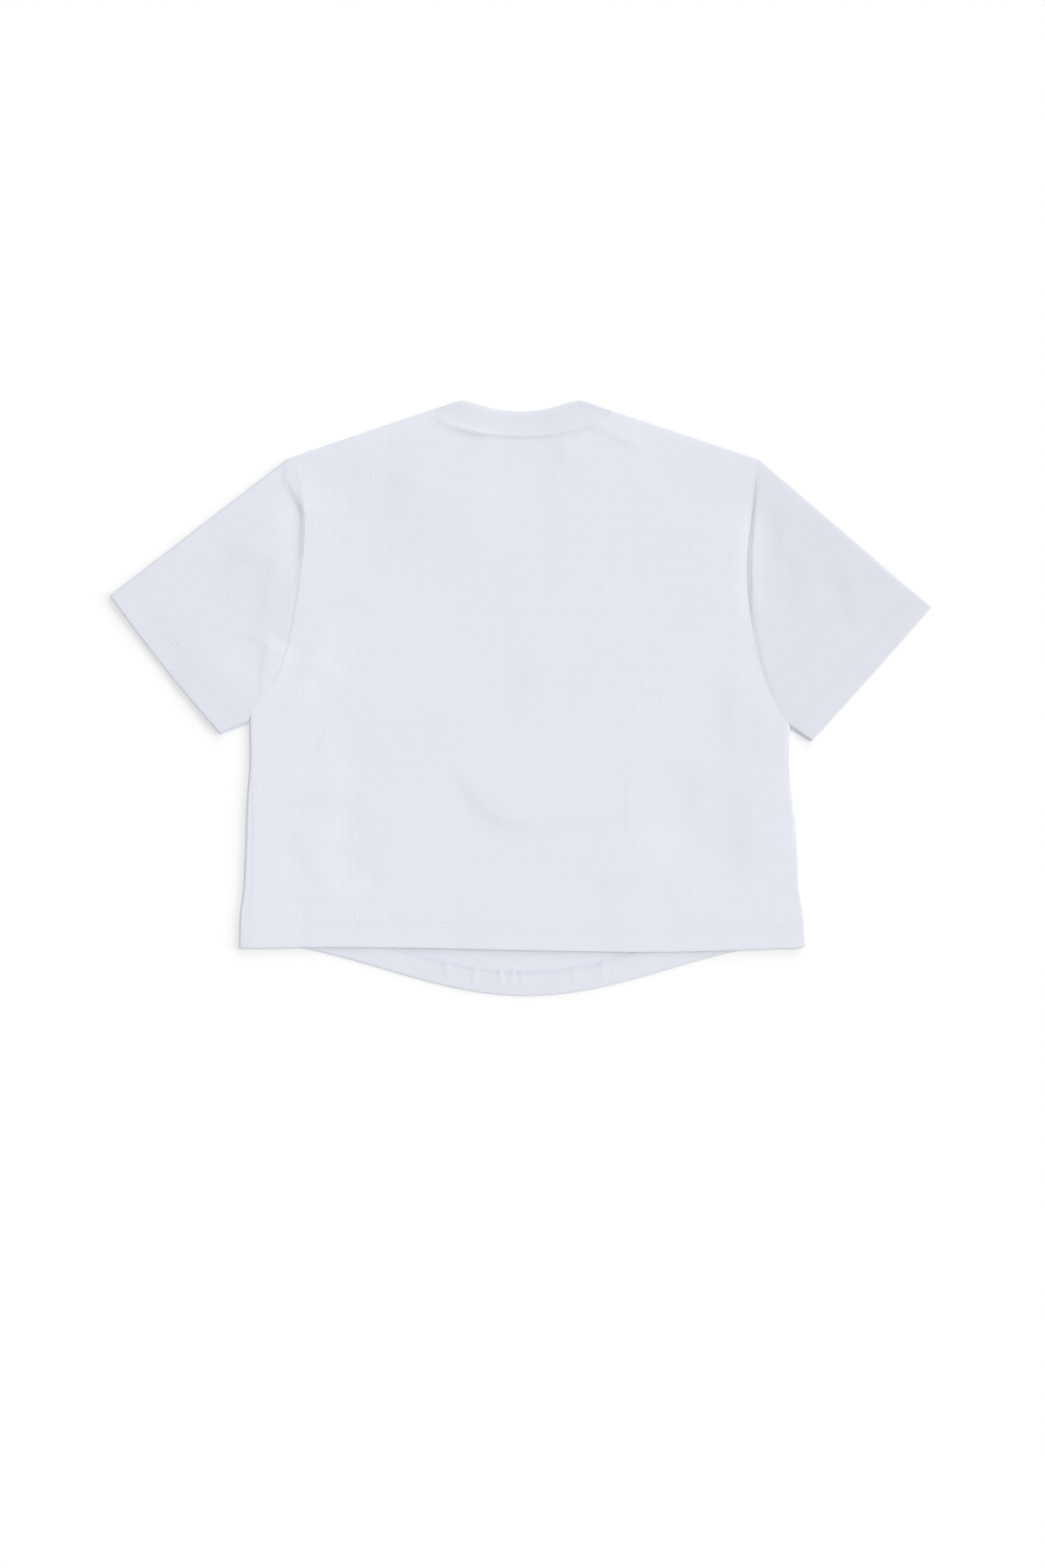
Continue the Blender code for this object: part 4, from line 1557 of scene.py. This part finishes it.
    def row_places(self) -> list[tuple[RowPlace, float]]:
        """List the pattern's rows.

        Returns:
            What each row's place is measured by and its value, from the hem's fold line up.
        """
        arm, steps = 1 - self.underarm_at, range(CLOTH.roll_steps + 1)
        tucked = [LEFT.tucked_share * k / CLOTH.roll_steps for k in steps]
        arms = np.linspace(LEFT.tucked_share, self.last_share, CLOTH.steps(self.armhole_length) + 1)[1:]
        rows = [(RowPlace.UP, CLOTH.turn + above) for above in self.hem_rows]
        rows += [(RowPlace.SHARE, share * self.underarm_at) for share in self.side_shares]
        rows += [(RowPlace.SHARE, self.underarm_at + arm * share) for share in (*tucked, *arms)]
        return rows + [(RowPlace.DOWN, CLOTH.quarter * (1 - k / CLOTH.roll_steps)) for k in steps]

    def pattern(self) -> Array:
        """Work out the pattern points.

        Returns:
            Points in plan, row by row from the hem's fold line to the top edge.
        """
        _, at = self.top_line()
        inside = at[(at > self.first_column) & (at < 1 - self.first_column)]
        fill = CLOTH.steps(self.fill_width) + 1
        grid_u, grid_v = [], []
        for kind, value in self.row_places():
            v = float(self.share_up(kind, value, self.about_tall))
            ends = [self.edge(side, np.array([v]))[0] for side in SIDES]
            width = ends[1][0] - ends[0][0]
            left = [offset / width for offset in self.edge_offsets(LEFT, v)]
            right = [1 - offset / width for offset in self.edge_offsets(RIGHT, v)]
            left += list(np.linspace(left[-1], inside[0], fill)[1:-1])
            right += list(np.linspace(right[-1], inside[-1], fill)[1:-1])
            u = np.array([*left, *inside, *right[::-1]])
            grid_u.append(u)
            grid_v.append(self.share_up(kind, value, self.heights(u)))
        return self.patch(np.array(grid_u), np.array(grid_v))

    def hem_line(self, above: float, depth: float = 0.0) -> Array:
        """Points along the hem.

        Args:
            above: How far up from the hem's fold line.
            depth: How far inside the outer face.

        Returns:
            Points in space, from the left side to the right one.
        """
        return LAY.place(self.points[0] + (0.0, above), self.layer, depth)

    def folded(self, inside: float) -> Array:
        """Laid rows, with the hem folded under and turned up inside.

        Args:
            inside: 0 for the outer face, or the cloth's thickness for the inner one.

        Returns:
            Points in space, row by row from the turned edge.
        """
        turn = CLOTH.turn
        count = len(self.hem_rows)
        turned = LAY.place(self.points[:count][::-1], self.layer, 2 * turn - inside)
        if self.layer is Layer.LOWER:
            turned[..., 2] += RELIEF.flap(turned[..., 0], turned[..., 1])
        fold = []
        for step in range(1, CLOTH.turn_steps):
            angle = math.pi * (1 - step / CLOTH.turn_steps)
            row = self.points[0] - (0, (turn - inside) * math.sin(angle))
            fold.append(LAY.place(row, self.layer, turn - (turn - inside) * math.cos(angle)))
        outer = LAY.place(self.points, self.layer, inside)
        return np.concatenate([turned, fold, outer])

    def cut_places(self) -> Array:
        """Unfold the rows.

        Returns:
            The pattern place of each point of the folded rows.
        """
        count = len(self.hem_rows)
        band = self.points[:count][::-1] * (1, -1) + (0, 2 * self.points[0, 0, 1])
        fold = np.repeat(self.points[:1], CLOTH.turn_steps - 1, axis=0)
        return np.concatenate([band, fold, self.points])

    def make(self) -> bpy.types.Object:
        """Build and dress the panel.

        Returns:
            The panel's object.
        """
        piece = self.build(self.folded(0.0), self.folded(CLOTH.layer), self.cut_places(), closed=False)
        self.settle(piece, jersey(self.node))
        return piece


@dataclass
class Sleeve(ClothPiece):
    """A set-in sleeve: one flattened tube with its hem turned up inside.

    Attributes:
        side: The side that it is on.
        front: The front panel that it is set into.
        back: The back panel that it is set into.
        gap: Gap between the sleeve and the armhole.
        shortest: The most of the sleeve's length that its hem may take up near the underarm.
        about_long: About how long the sleeve is, to set how many rings there are.
        closer: How many times closer than the cloth's pitch the rings lie.
        armhole_closer: How far apart they lie at the armhole, for 1 without this easing.
        starts: Points of the ring at the armhole.
        ends: Points of the ring at the cuff.
        inward: The way into the cloth at each of them.
        flat: Which of them lie flat on the upper side.
        base: Which of them lie flat on the lower side.
        length: How far apart the two rings are, in plan.
        way: The way from the first ring to the second.
    """

    side: Side = LEFT
    front: Panel | None = None
    back: Panel | None = None
    gap: float = 0.00008
    shortest: float = 0.8
    about_long: float = 0.17
    closer: float = 1.4
    armhole_closer: float = 0.35
    starts: Array = field(init=False)
    ends: Array = field(init=False)
    inward: Array = field(init=False)
    flat: Array = field(init=False)
    base: Array = field(init=False)
    length: Array = field(init=False)
    way: Array = field(init=False)

    def __post_init__(self) -> None:
        """Work out the ring at the armhole and the one at the cuff."""
        side = self.side
        column = 0 if side is LEFT else -1
        first = len(self.front.hem_rows) + len(self.front.side_shares)
        down = LAY.place(self.front.points[first:], Layer.LOWER)[:, column][::-1]
        up = LAY.place(self.back.points[first:], Layer.UPPER)[:, column][1:-1]
        count, steps = len(down), CLOTH.roll_steps
        top_out, foot_out = side.sleeve_out(Edge.TOP), side.sleeve_out(Edge.FOOT)
        cuff_top = side.cuff_top - CLOTH.roll * top_out
        cuff_foot = side.cuff_foot - CLOTH.roll * foot_out
        cuff_out = unit((cuff_top - cuff_foot)[::-1] * (side.sign, -side.sign))
        ends, inward, flat, base = [], [], [], []
        for rising in (False, True):
            for k in range(count - 2, 0, -1) if rising else range(count):
                share = np.clip((k - steps) / (count - 1 - 2 * steps), 0, 1)
                near_top, near_foot = max(steps - k, 0), max(k - (count - 1 - steps), 0)
                angle = math.pi / 2 * (near_top + near_foot) / steps
                out = top_out if near_top else foot_out
                plan = lerp(cuff_top, cuff_foot, share) + side.bow * math.sin(math.pi * share) * cuff_out
                plan = plan + CLOTH.roll * math.sin(angle) * out
                climb = CLOTH.roll * (1 - math.cos(angle))
                ends.append((*plan, CLOTH.edge_top - climb if rising else climb))
                inward.append((*(-math.sin(angle) * out), (-1 if rising else 1) * math.cos(angle)))
                level = not near_top and not near_foot
                flat.append(rising and level)
                base.append(level and not rising)
        starts = np.concatenate([down, up])
        self.ends, self.inward = np.array(ends), np.array(inward)
        self.flat, self.base = np.array(flat), np.array(base)
        run = self.ends - starts
        self.length = np.linalg.norm(run[:, :2], axis=1)
        self.way = run / self.length[:, None]
        self.starts = starts + run * (self.gap / self.length)[:, None] * (1, 1, 0)

    def ring(self, back: Array | float, depth: float = 0.0, past: float = 0.0) -> Array:
        """One ring of the tube.

        Args:
            back: How far back from the cuff.
            depth: How far inside the outer face.
            past: How far out past the cuff line.

        Returns:
            The ring's points in space.
        """
        share = (1 - back / self.length)[:, None]
        points = lerp(self.starts, self.ends, share)
        level = RELIEF.height(points[:, 0], points[:, 1])
        points[:, 2] = np.where(self.flat & (share[:, 0] > 0), level, points[:, 2])
        points[:, 2] += np.where(self.base & (share[:, 0] > 0), RELIEF.under(points[:, 0], points[:, 1]), 0.0)
        points[:, :2] += past * self.way[:, :2]
        return points + self.inward * depth

    def bands(self) -> tuple[list[Array], list[Array]]:
        """Space the rings.

        Returns:
            How far back from the cuff each ring of the hem lies, and each further ring, from the
            armhole out.
        """
        shortest = self.shortest * self.length
        band = [np.minimum(CLOTH.turn + above, shortest) for above in self.front.hem_rows]
        shares = np.linspace(0, 1, int(self.closer * CLOTH.steps(self.about_long)) + 1)[:-1]
        eased = [share * lerp(self.armhole_closer, 1.0, share) for share in shares]
        return band, [lerp(self.length, band[-1], share) for share in eased]

    def rows(self, inside: float) -> Array:
        """Lay the rings, with the hem turned up inside.

        Args:
            inside: 0 for the outer face, or the cloth's thickness for the inner one.

        Returns:
            Points in space, ring by ring from the end of the turned hem to the armhole.
        """
        band, rest = self.bands()
        turned = [self.ring(back, 2 * CLOTH.turn - inside) for back in band[::-1]]
        fold, radius = [], CLOTH.turn - inside
        for step in range(1, CLOTH.turn_steps):
            angle = math.pi * (1 - step / CLOTH.turn_steps)
            depth = CLOTH.turn - radius * math.cos(angle)
            fold.append(self.ring(band[0], depth, radius * math.sin(angle)))
        return np.array(turned + fold + [self.ring(back, inside) for back in band + rest[::-1]])

    def cut_places(self) -> Array:
        """Unroll the tube.

        Returns:
            The pattern place of each point: round the tube, and back from the cuff.
        """
        band, rest = self.bands()
        around = np.linalg.norm(np.diff(self.ends, axis=0, prepend=self.ends[:1]), axis=1).cumsum()
        backs = [-back for back in band[::-1]] + [0 * band[0]] * (CLOTH.turn_steps - 1) + band + rest[::-1]
        return np.array([np.stack([around, back], axis=-1) for back in backs])

    def make(self) -> bpy.types.Object:
        """Build and dress the sleeve.

        Returns:
            The sleeve's object.
        """
        piece = self.build(self.rows(0.0), self.rows(CLOTH.layer), self.cut_places(), closed=True)
        self.settle(piece, jersey(self.node))
        return piece


@dataclass
class Collar(ClothPiece):
    """The neck band: rib folded double, its free edge pressed flat.

    Attributes:
        rib_pitch: Width of a rib and its groove.
        rib_depth: Depth of a groove.
        rib_course: Spacing of the rib's courses.
        knit_depth: Depth of the knit's loops.
        columns_per_rib: How many columns of points a rib has.
        ring_count: How many rings of faces the band has.
        closer: How much closer together the rings lie at the seam, 1 for even ones.
        plain_edge: Share of the band over which the ribs die out at its free edge.
        pressed_edge: Share of the band over which it is pressed thinner there.
        pressed: How much thinner it is.
    """

    rib_pitch: float = 0.0023
    rib_depth: float = 0.00022
    rib_course: float = 0.0009
    knit_depth: float = 0.00012
    columns_per_rib: int = 4
    ring_count: int = 14
    quick_ring_count: int = 6
    closer: float = 1.4
    plain_edge: float = 0.12
    pressed_edge: float = 0.10
    pressed: float = 0.0007

    def rows(self, inside: float) -> tuple[Array, Array]:
        """Lay the rings, from the seam to the free edge.

        Args:
            inside: 0 for the outer face, or the band's thickness for the inner one.

        Returns:
            Points in space ring by ring, and the place of each on the band.
        """
        count = self.ring_count
        pitch = self.rib_pitch / self.columns_per_rib
        rings, places = [], []
        for step in range(count + 1):
            share = (step / count) ** self.closer
            ribbed = self.rib_depth * smooth((1 - share) / self.plain_edge)
            pressed = self.pressed * (1 - smooth((1 - share) / self.pressed_edge))
            ring, place = [], []
            for layer in (Layer.UPPER, Layer.LOWER):
                angles = NECK.angles(layer, pitch)
                seam = NECK.seam(angles, layer)
                points = lerp(seam, NECK.free_edge(angles, layer), share)
                along = np.linalg.norm(np.diff(seam, axis=0, prepend=seam[:1]), axis=1).cumsum()
                groove = ribbed * (1 - np.cos(2 * math.pi * along / self.rib_pitch)) / 2
                laid = LAY.place(points, layer, inside or groove + pressed)
                cut = np.stack([along, np.full_like(along, share * NECK.band)], axis=-1)
                ring.append(laid if layer is Layer.UPPER else laid[::-1][1:-1])
                place.append(cut if layer is Layer.UPPER else cut[::-1][1:-1])
            rings.append(np.concatenate(ring))
            places.append(np.concatenate(place))
        return np.array(rings), np.array(places)

    def make(self) -> bpy.types.Object:
        """Build and dress the band.

        Returns:
            The band's object.
        """
        outer, places = self.rows(0.0)
        inner, _ = self.rows(CLOTH.rib)
        piece = self.build(outer, inner, places, closed=True)
        weave = Weave(self.rib_pitch / 2, self.rib_course, self.knit_depth)
        # The band's colours carry painted shade as well as the rib's own tone.
        self.settle(piece, KnitFinish("rib_collar", RIB_TONE_AND_PAINTED_SHADE, RIB_PATCHES_AND_PAINTED_SHADE, weave).material())
        return piece


@dataclass
class Stitches(ClothPiece):
    """Short lengths of sewing thread along a seam, part sunk in the cloth.

    Attributes:
        radius: The thread's radius.
        pitch: How far apart the stitches start.
        stitch: Length of a stitch, without its round ends.
        sides: How many sides a stitch has round it.
        bands: How many bands of faces it has along it.
        batch: How many are made at a time.
        tone: How light the thread is beside the cloth.
        ends: Both ends of each stitch.
    """

    radius: float = 0.00028
    pitch: float = 0.0027
    stitch: float = 0.0016
    sides: int = 6
    bands: int = 4
    batch: int = 40
    tone: float = 0.93
    ends: list[tuple[Array, Array]] = field(default_factory=list)

    def thread(self, start: Array, end: Array) -> None:
        """Note one stitch from start to end."""
        self.ends.append((start, end))

    def lengths_of_thread(self) -> bmesh.types.BMesh:
        """Make every noted stitch as a long bead of thread.

        Returns:
            A bmesh of them all. A few at a time are made apart, which is quicker.
        """
        made = bmesh.new()
        for first in range(0, len(self.ends), self.batch):
            few = bmesh.new()
            for start, end in self.ends[first : first + self.batch]:
                start, end = Vector(start), Vector(end)
                run = end - start
                turn = Vector((0, 0, 1)).rotation_difference(run.normalized()).to_matrix().to_4x4()
                size = Matrix.Diagonal((self.radius, self.radius, run.length / 2 + self.radius, 1.0))
                place = Matrix.Translation((start + end) / 2) @ turn @ size
                bmesh.ops.create_uvsphere(
                    few, u_segments=self.sides, v_segments=self.bands, radius=1.0, matrix=place
                )
            mesh = bpy.data.meshes.new("few_stitches")
            few.to_mesh(mesh)
            few.free()
            made.from_mesh(mesh)
            bpy.data.meshes.remove(mesh)
        return made

    @staticmethod
    def distances(line: Array) -> Array:
        """How far along a line each of its points lies."""
        return np.concatenate([[0.0], np.linalg.norm(np.diff(line, axis=0), axis=1).cumsum()])

    def spaced(self, line: Array, places: Array) -> Array:
        """Find points at given distances along a line.

        Args:
            line: The line's points.
            places: The distances.

        Returns:
            One point for each distance.
        """
        along = self.distances(line)
        return np.stack([np.interp(places, along, line[:, k]) for k in range(3)], axis=-1)

    def straight(self, line: Array) -> None:
        """Add a straight row of separate stitches.

        Args:
            line: Points of the line that they follow.
        """
        total = self.distances(line)[-1]
        starts = np.arange(self.pitch, total - 2 * self.pitch, self.pitch)
        for a, b in zip(self.spaced(line, starts), self.spaced(line, starts + self.stitch)):
            self.thread(a, b)

    def zigzag(self, first: Array, second: Array) -> None:
        """Add a looper thread that runs to and fro between two lines.

        Args:
            first: Points of the line that it starts from.
            second: Points of the other line.
        """
        totals = [self.distances(line)[-1] for line in (first, second)]
        count = int(totals[0] / self.pitch)
        near = self.spaced(first, np.linspace(0, totals[0], count))
        far = self.spaced(second, np.linspace(0, totals[1], count))
        for k in range(1, count - 2):
            self.thread(near[k], far[k])
            self.thread(far[k], near[k + 1])

    def finish(self) -> bpy.types.Object:
        """Make and dress the stitches.

        Returns:
            The stitches' object.
        """
        made = self.lengths_of_thread()
        self.face_outwards(made)
        piece = self.linked(made)
        # The neck thread's colour comes from the rib's, painted shade included.
        colour = toned(RIB_TONE_AND_PAINTED_SHADE if self.slot == "rib" else JERSEY_COLOUR, self.tone)
        piece.data.materials.append(ThreadFinish(f"thread_{self.name}", colour).material())
        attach(piece, "root")
        return piece


@dataclass
class Sewing:
    """All the visible stitching of the shirt.

    Attributes:
        front: The front panel.
        back: The back panel.
        sleeves: The left and the right sleeve.
        row_gap: Gap between the two rows of a hem.
        hem_row: How far above the hem's turn the lower row lies.
        sunk: How far the thread's middle is sunk in the cloth.
        looper_up: How far the looper thread's middle lies above the turned hem.
        looper_near: How far above the hem's turn the looper thread's nearer line lies.
        looper_edge: How far above it the raw edge's line lies.
        looper_far: How far above it the line past the raw edge lies.
        far_up: How far the thread's middle lies above the single layer there.
        neck_out: How far outside the neck seam its row lies.
        neck_from: Angle from the shoulder at which that row starts.
        neck_points: How many points the row's line has.
    """

    front: Panel
    back: Panel
    sleeves: tuple[Sleeve, Sleeve]
    row_gap: float = 0.0045
    hem_row: float = 0.0205
    sunk: float = 0.00004
    looper_up: float = 0.00005
    looper_near: float = 0.0205
    looper_edge: float = 0.0242
    looper_far: float = 0.0258
    far_up: float = 0.0001
    neck_out: float = 0.0022
    neck_from: float = 0.22
    neck_points: int = 120

    def back_hem(self) -> bpy.types.Object:
        """Sew two rows along the back's hem.

        Returns:
            Their object.
        """
        sewn = Stitches("back_hem_stitches", "back", "jersey")
        for above in (self.hem_row, self.hem_row + self.row_gap):
            sewn.straight(self.back.hem_line(above, self.sunk))
        return sewn.finish()

    def front_hem(self) -> bpy.types.Object:
        """Sew the looper thread over the raw edge inside the front's hem.

        Returns:
            Its object.
        """
        sewn = Stitches("front_hem_stitches", "front", "jersey", radius=0.00020, pitch=0.0026, tone=1.02)
        turned = 2 * CLOTH.turn + self.looper_up
        near, edge = (self.front.hem_line(above, turned) for above in (self.looper_near, self.looper_edge))
        far = self.front.hem_line(self.looper_far, CLOTH.layer + self.far_up)
        for line in (near, edge):
            line[:, 2] += RELIEF.flap(line[:, 0], line[:, 1])
        sewn.zigzag(near, edge)
        sewn.straight(near)
        sewn.straight(far)
        return sewn.finish()

    def cuff(self, sleeve: Sleeve) -> bpy.types.Object:
        """Sew two rows across the upper side of a sleeve's hem.

        Args:
            sleeve: The sleeve.

        Returns:
            Their object.
        """
        sewn = Stitches(f"{sleeve.node}_hem_stitches", sleeve.node, "jersey")
        for above in (self.hem_row, self.hem_row + self.row_gap):
            ring = sleeve.ring(CLOTH.turn + above, self.sunk)
            sewn.straight(ring[sleeve.flat])
        return sewn.finish()

    def neck(self) -> bpy.types.Object:
        """Sew a row just below the back neck seam.

        Returns:
            Its object.
        """
        sewn = Stitches("neck_stitches", "collar", "rib", radius=0.00026, pitch=0.0028, stitch=0.0020)
        angles = np.linspace(self.neck_from, math.pi - self.neck_from, self.neck_points)
        line = NECK.seam(angles, Layer.UPPER, self.neck_out)
        sewn.straight(LAY.place(line, Layer.UPPER, self.sunk))
        return sewn.finish()


@dataclass(frozen=True)
class Studio:
    """Camera, lights and the surface under the shirt.

    Attributes:
        x: The camera's place across the shirt.
        y: Its place up the shirt.
        high: Its height.
        lens: Its focal length, in millimetres.
        sensor: Its sensor's width, in millimetres.
        key: Strength of the light from the right.
        key_turn: Its direction from +X, in degrees.
        side: Strength of the light from above the neck.
        side_turn: Its direction.
        low: Height of both, in degrees.
        low_spread: How wide both are, in degrees.
        top: Strength of the overhead light.
        top_turn: Its direction.
        top_height: Its height.
        top_spread: How wide it is.
        fill: Strength of the even light from all round.
        surface_half: Half the length of the surface, which reaches far past every view.
    """

    x: float = 0.0017
    y: float = -0.0843
    high: float = 3.0
    lens: float = 69.8
    sensor: float = 36.0
    key: float = 1.60
    key_turn: float = 4.0
    side: float = 1.18
    side_turn: float = 68.0
    low: float = 21.0
    low_spread: float = 33.0
    top: float = 1.96
    top_turn: float = 90.0
    top_height: float = 88.0
    top_spread: float = 60.0
    fill: float = 0.22
    surface_half: float = 60.0

    def camera(self) -> None:
        """Point the camera straight down at the shirt."""
        seen = bpy.data.cameras.new("overhead_camera")
        seen.lens = self.lens
        seen.sensor_width = self.sensor
        eye = bpy.data.objects.new("overhead_camera", seen)
        eye.location = (self.x, self.y, self.high)
        bpy.context.scene.collection.objects.link(eye)
        bpy.context.scene.camera = eye

    @staticmethod
    def sun(name: str, strength: float, spread: float, turn: float, height: float) -> None:
        """Add a broad, even light.

        Args:
            name: Its name.
            strength: Its strength.
            spread: How wide it is, in degrees.
            turn: Its direction from +X, in degrees.
            height: Its height above the surface, in degrees.
        """
        light = bpy.data.lights.new(name, "SUN")
        light.energy = strength
        light.angle = math.radians(spread)
        lamp = bpy.data.objects.new(name, light)
        turn, height = math.radians(turn), math.radians(height)
        flat = math.cos(height)
        towards = Vector((flat * math.cos(turn), flat * math.sin(turn), math.sin(height)))
        lamp.rotation_euler = towards.to_track_quat("Z", "Y").to_euler()
        bpy.context.scene.collection.objects.link(lamp)

    def lights(self) -> None:
        """Low lights from the right and from above the neck, a soft one overhead and an even fill."""
        self.sun("key", self.key, self.low_spread, self.key_turn, self.low)
        self.sun("side", self.side, self.low_spread, self.side_turn, self.low)
        self.sun("overhead", self.top, self.top_spread, self.top_turn, self.top_height)
        world = bpy.data.worlds.new("studio")
        world.use_nodes = True
        backdrop = world.node_tree.nodes["Background"]
        backdrop.inputs["Color"].default_value = (1.0, 1.0, 1.0, 1.0)
        backdrop.inputs["Strength"].default_value = self.fill
        bpy.context.scene.world = world
        bpy.context.scene.view_settings.view_transform = "Standard"

    def surface(self) -> None:
        """Lay the pale surface."""
        made = bmesh.new()
        bmesh.ops.create_grid(made, x_segments=2, y_segments=2, size=self.surface_half)
        mesh = bpy.data.meshes.new("surface")
        made.to_mesh(mesh)
        made.free()
        mesh.materials.append(SurfaceFinish().material())
        floor = bpy.data.objects.new("surface", mesh)
        bpy.context.scene.collection.objects.link(floor)


def main() -> None:
    """Build the shirt and the studio, and report each piece."""
    logging.basicConfig(level=logging.INFO, format="%(name)s: %(message)s")
    studio = Studio()
    studio.camera()
    studio.lights()
    studio.surface()

    front = Panel("front_cloth", "front", "jersey", layer=Layer.LOWER)
    back = Panel("back_cloth", "back", "jersey", layer=Layer.UPPER)
    sleeves = tuple(
        Sleeve(
            f"sleeve_{side.name}_cloth", f"sleeve_{side.name}", "jersey", side=side, front=front, back=back
        )
        for side in SIDES
    )
    collar = Collar("collar_cloth", "collar", "rib")
    front_cloth, back_cloth, *sleeve_cloths, band = (
        part.make() for part in (front, back, *sleeves, collar)
    )
    sewing = Sewing(front, back, sleeves)
    sewn = {"front": sewing.front_hem(), "back": sewing.back_hem(), "neck": sewing.neck()}
    sewn |= {cloth.name: sewing.cuff(sleeve) for sleeve, cloth in zip(sleeves, sleeve_cloths)}
    for piece in (front_cloth, back_cloth, *sleeve_cloths, band, *sewn.values()):
        log.info("%s: %d faces", piece.name, len(piece.data.polygons))


if __name__ == "__main__":
    main()
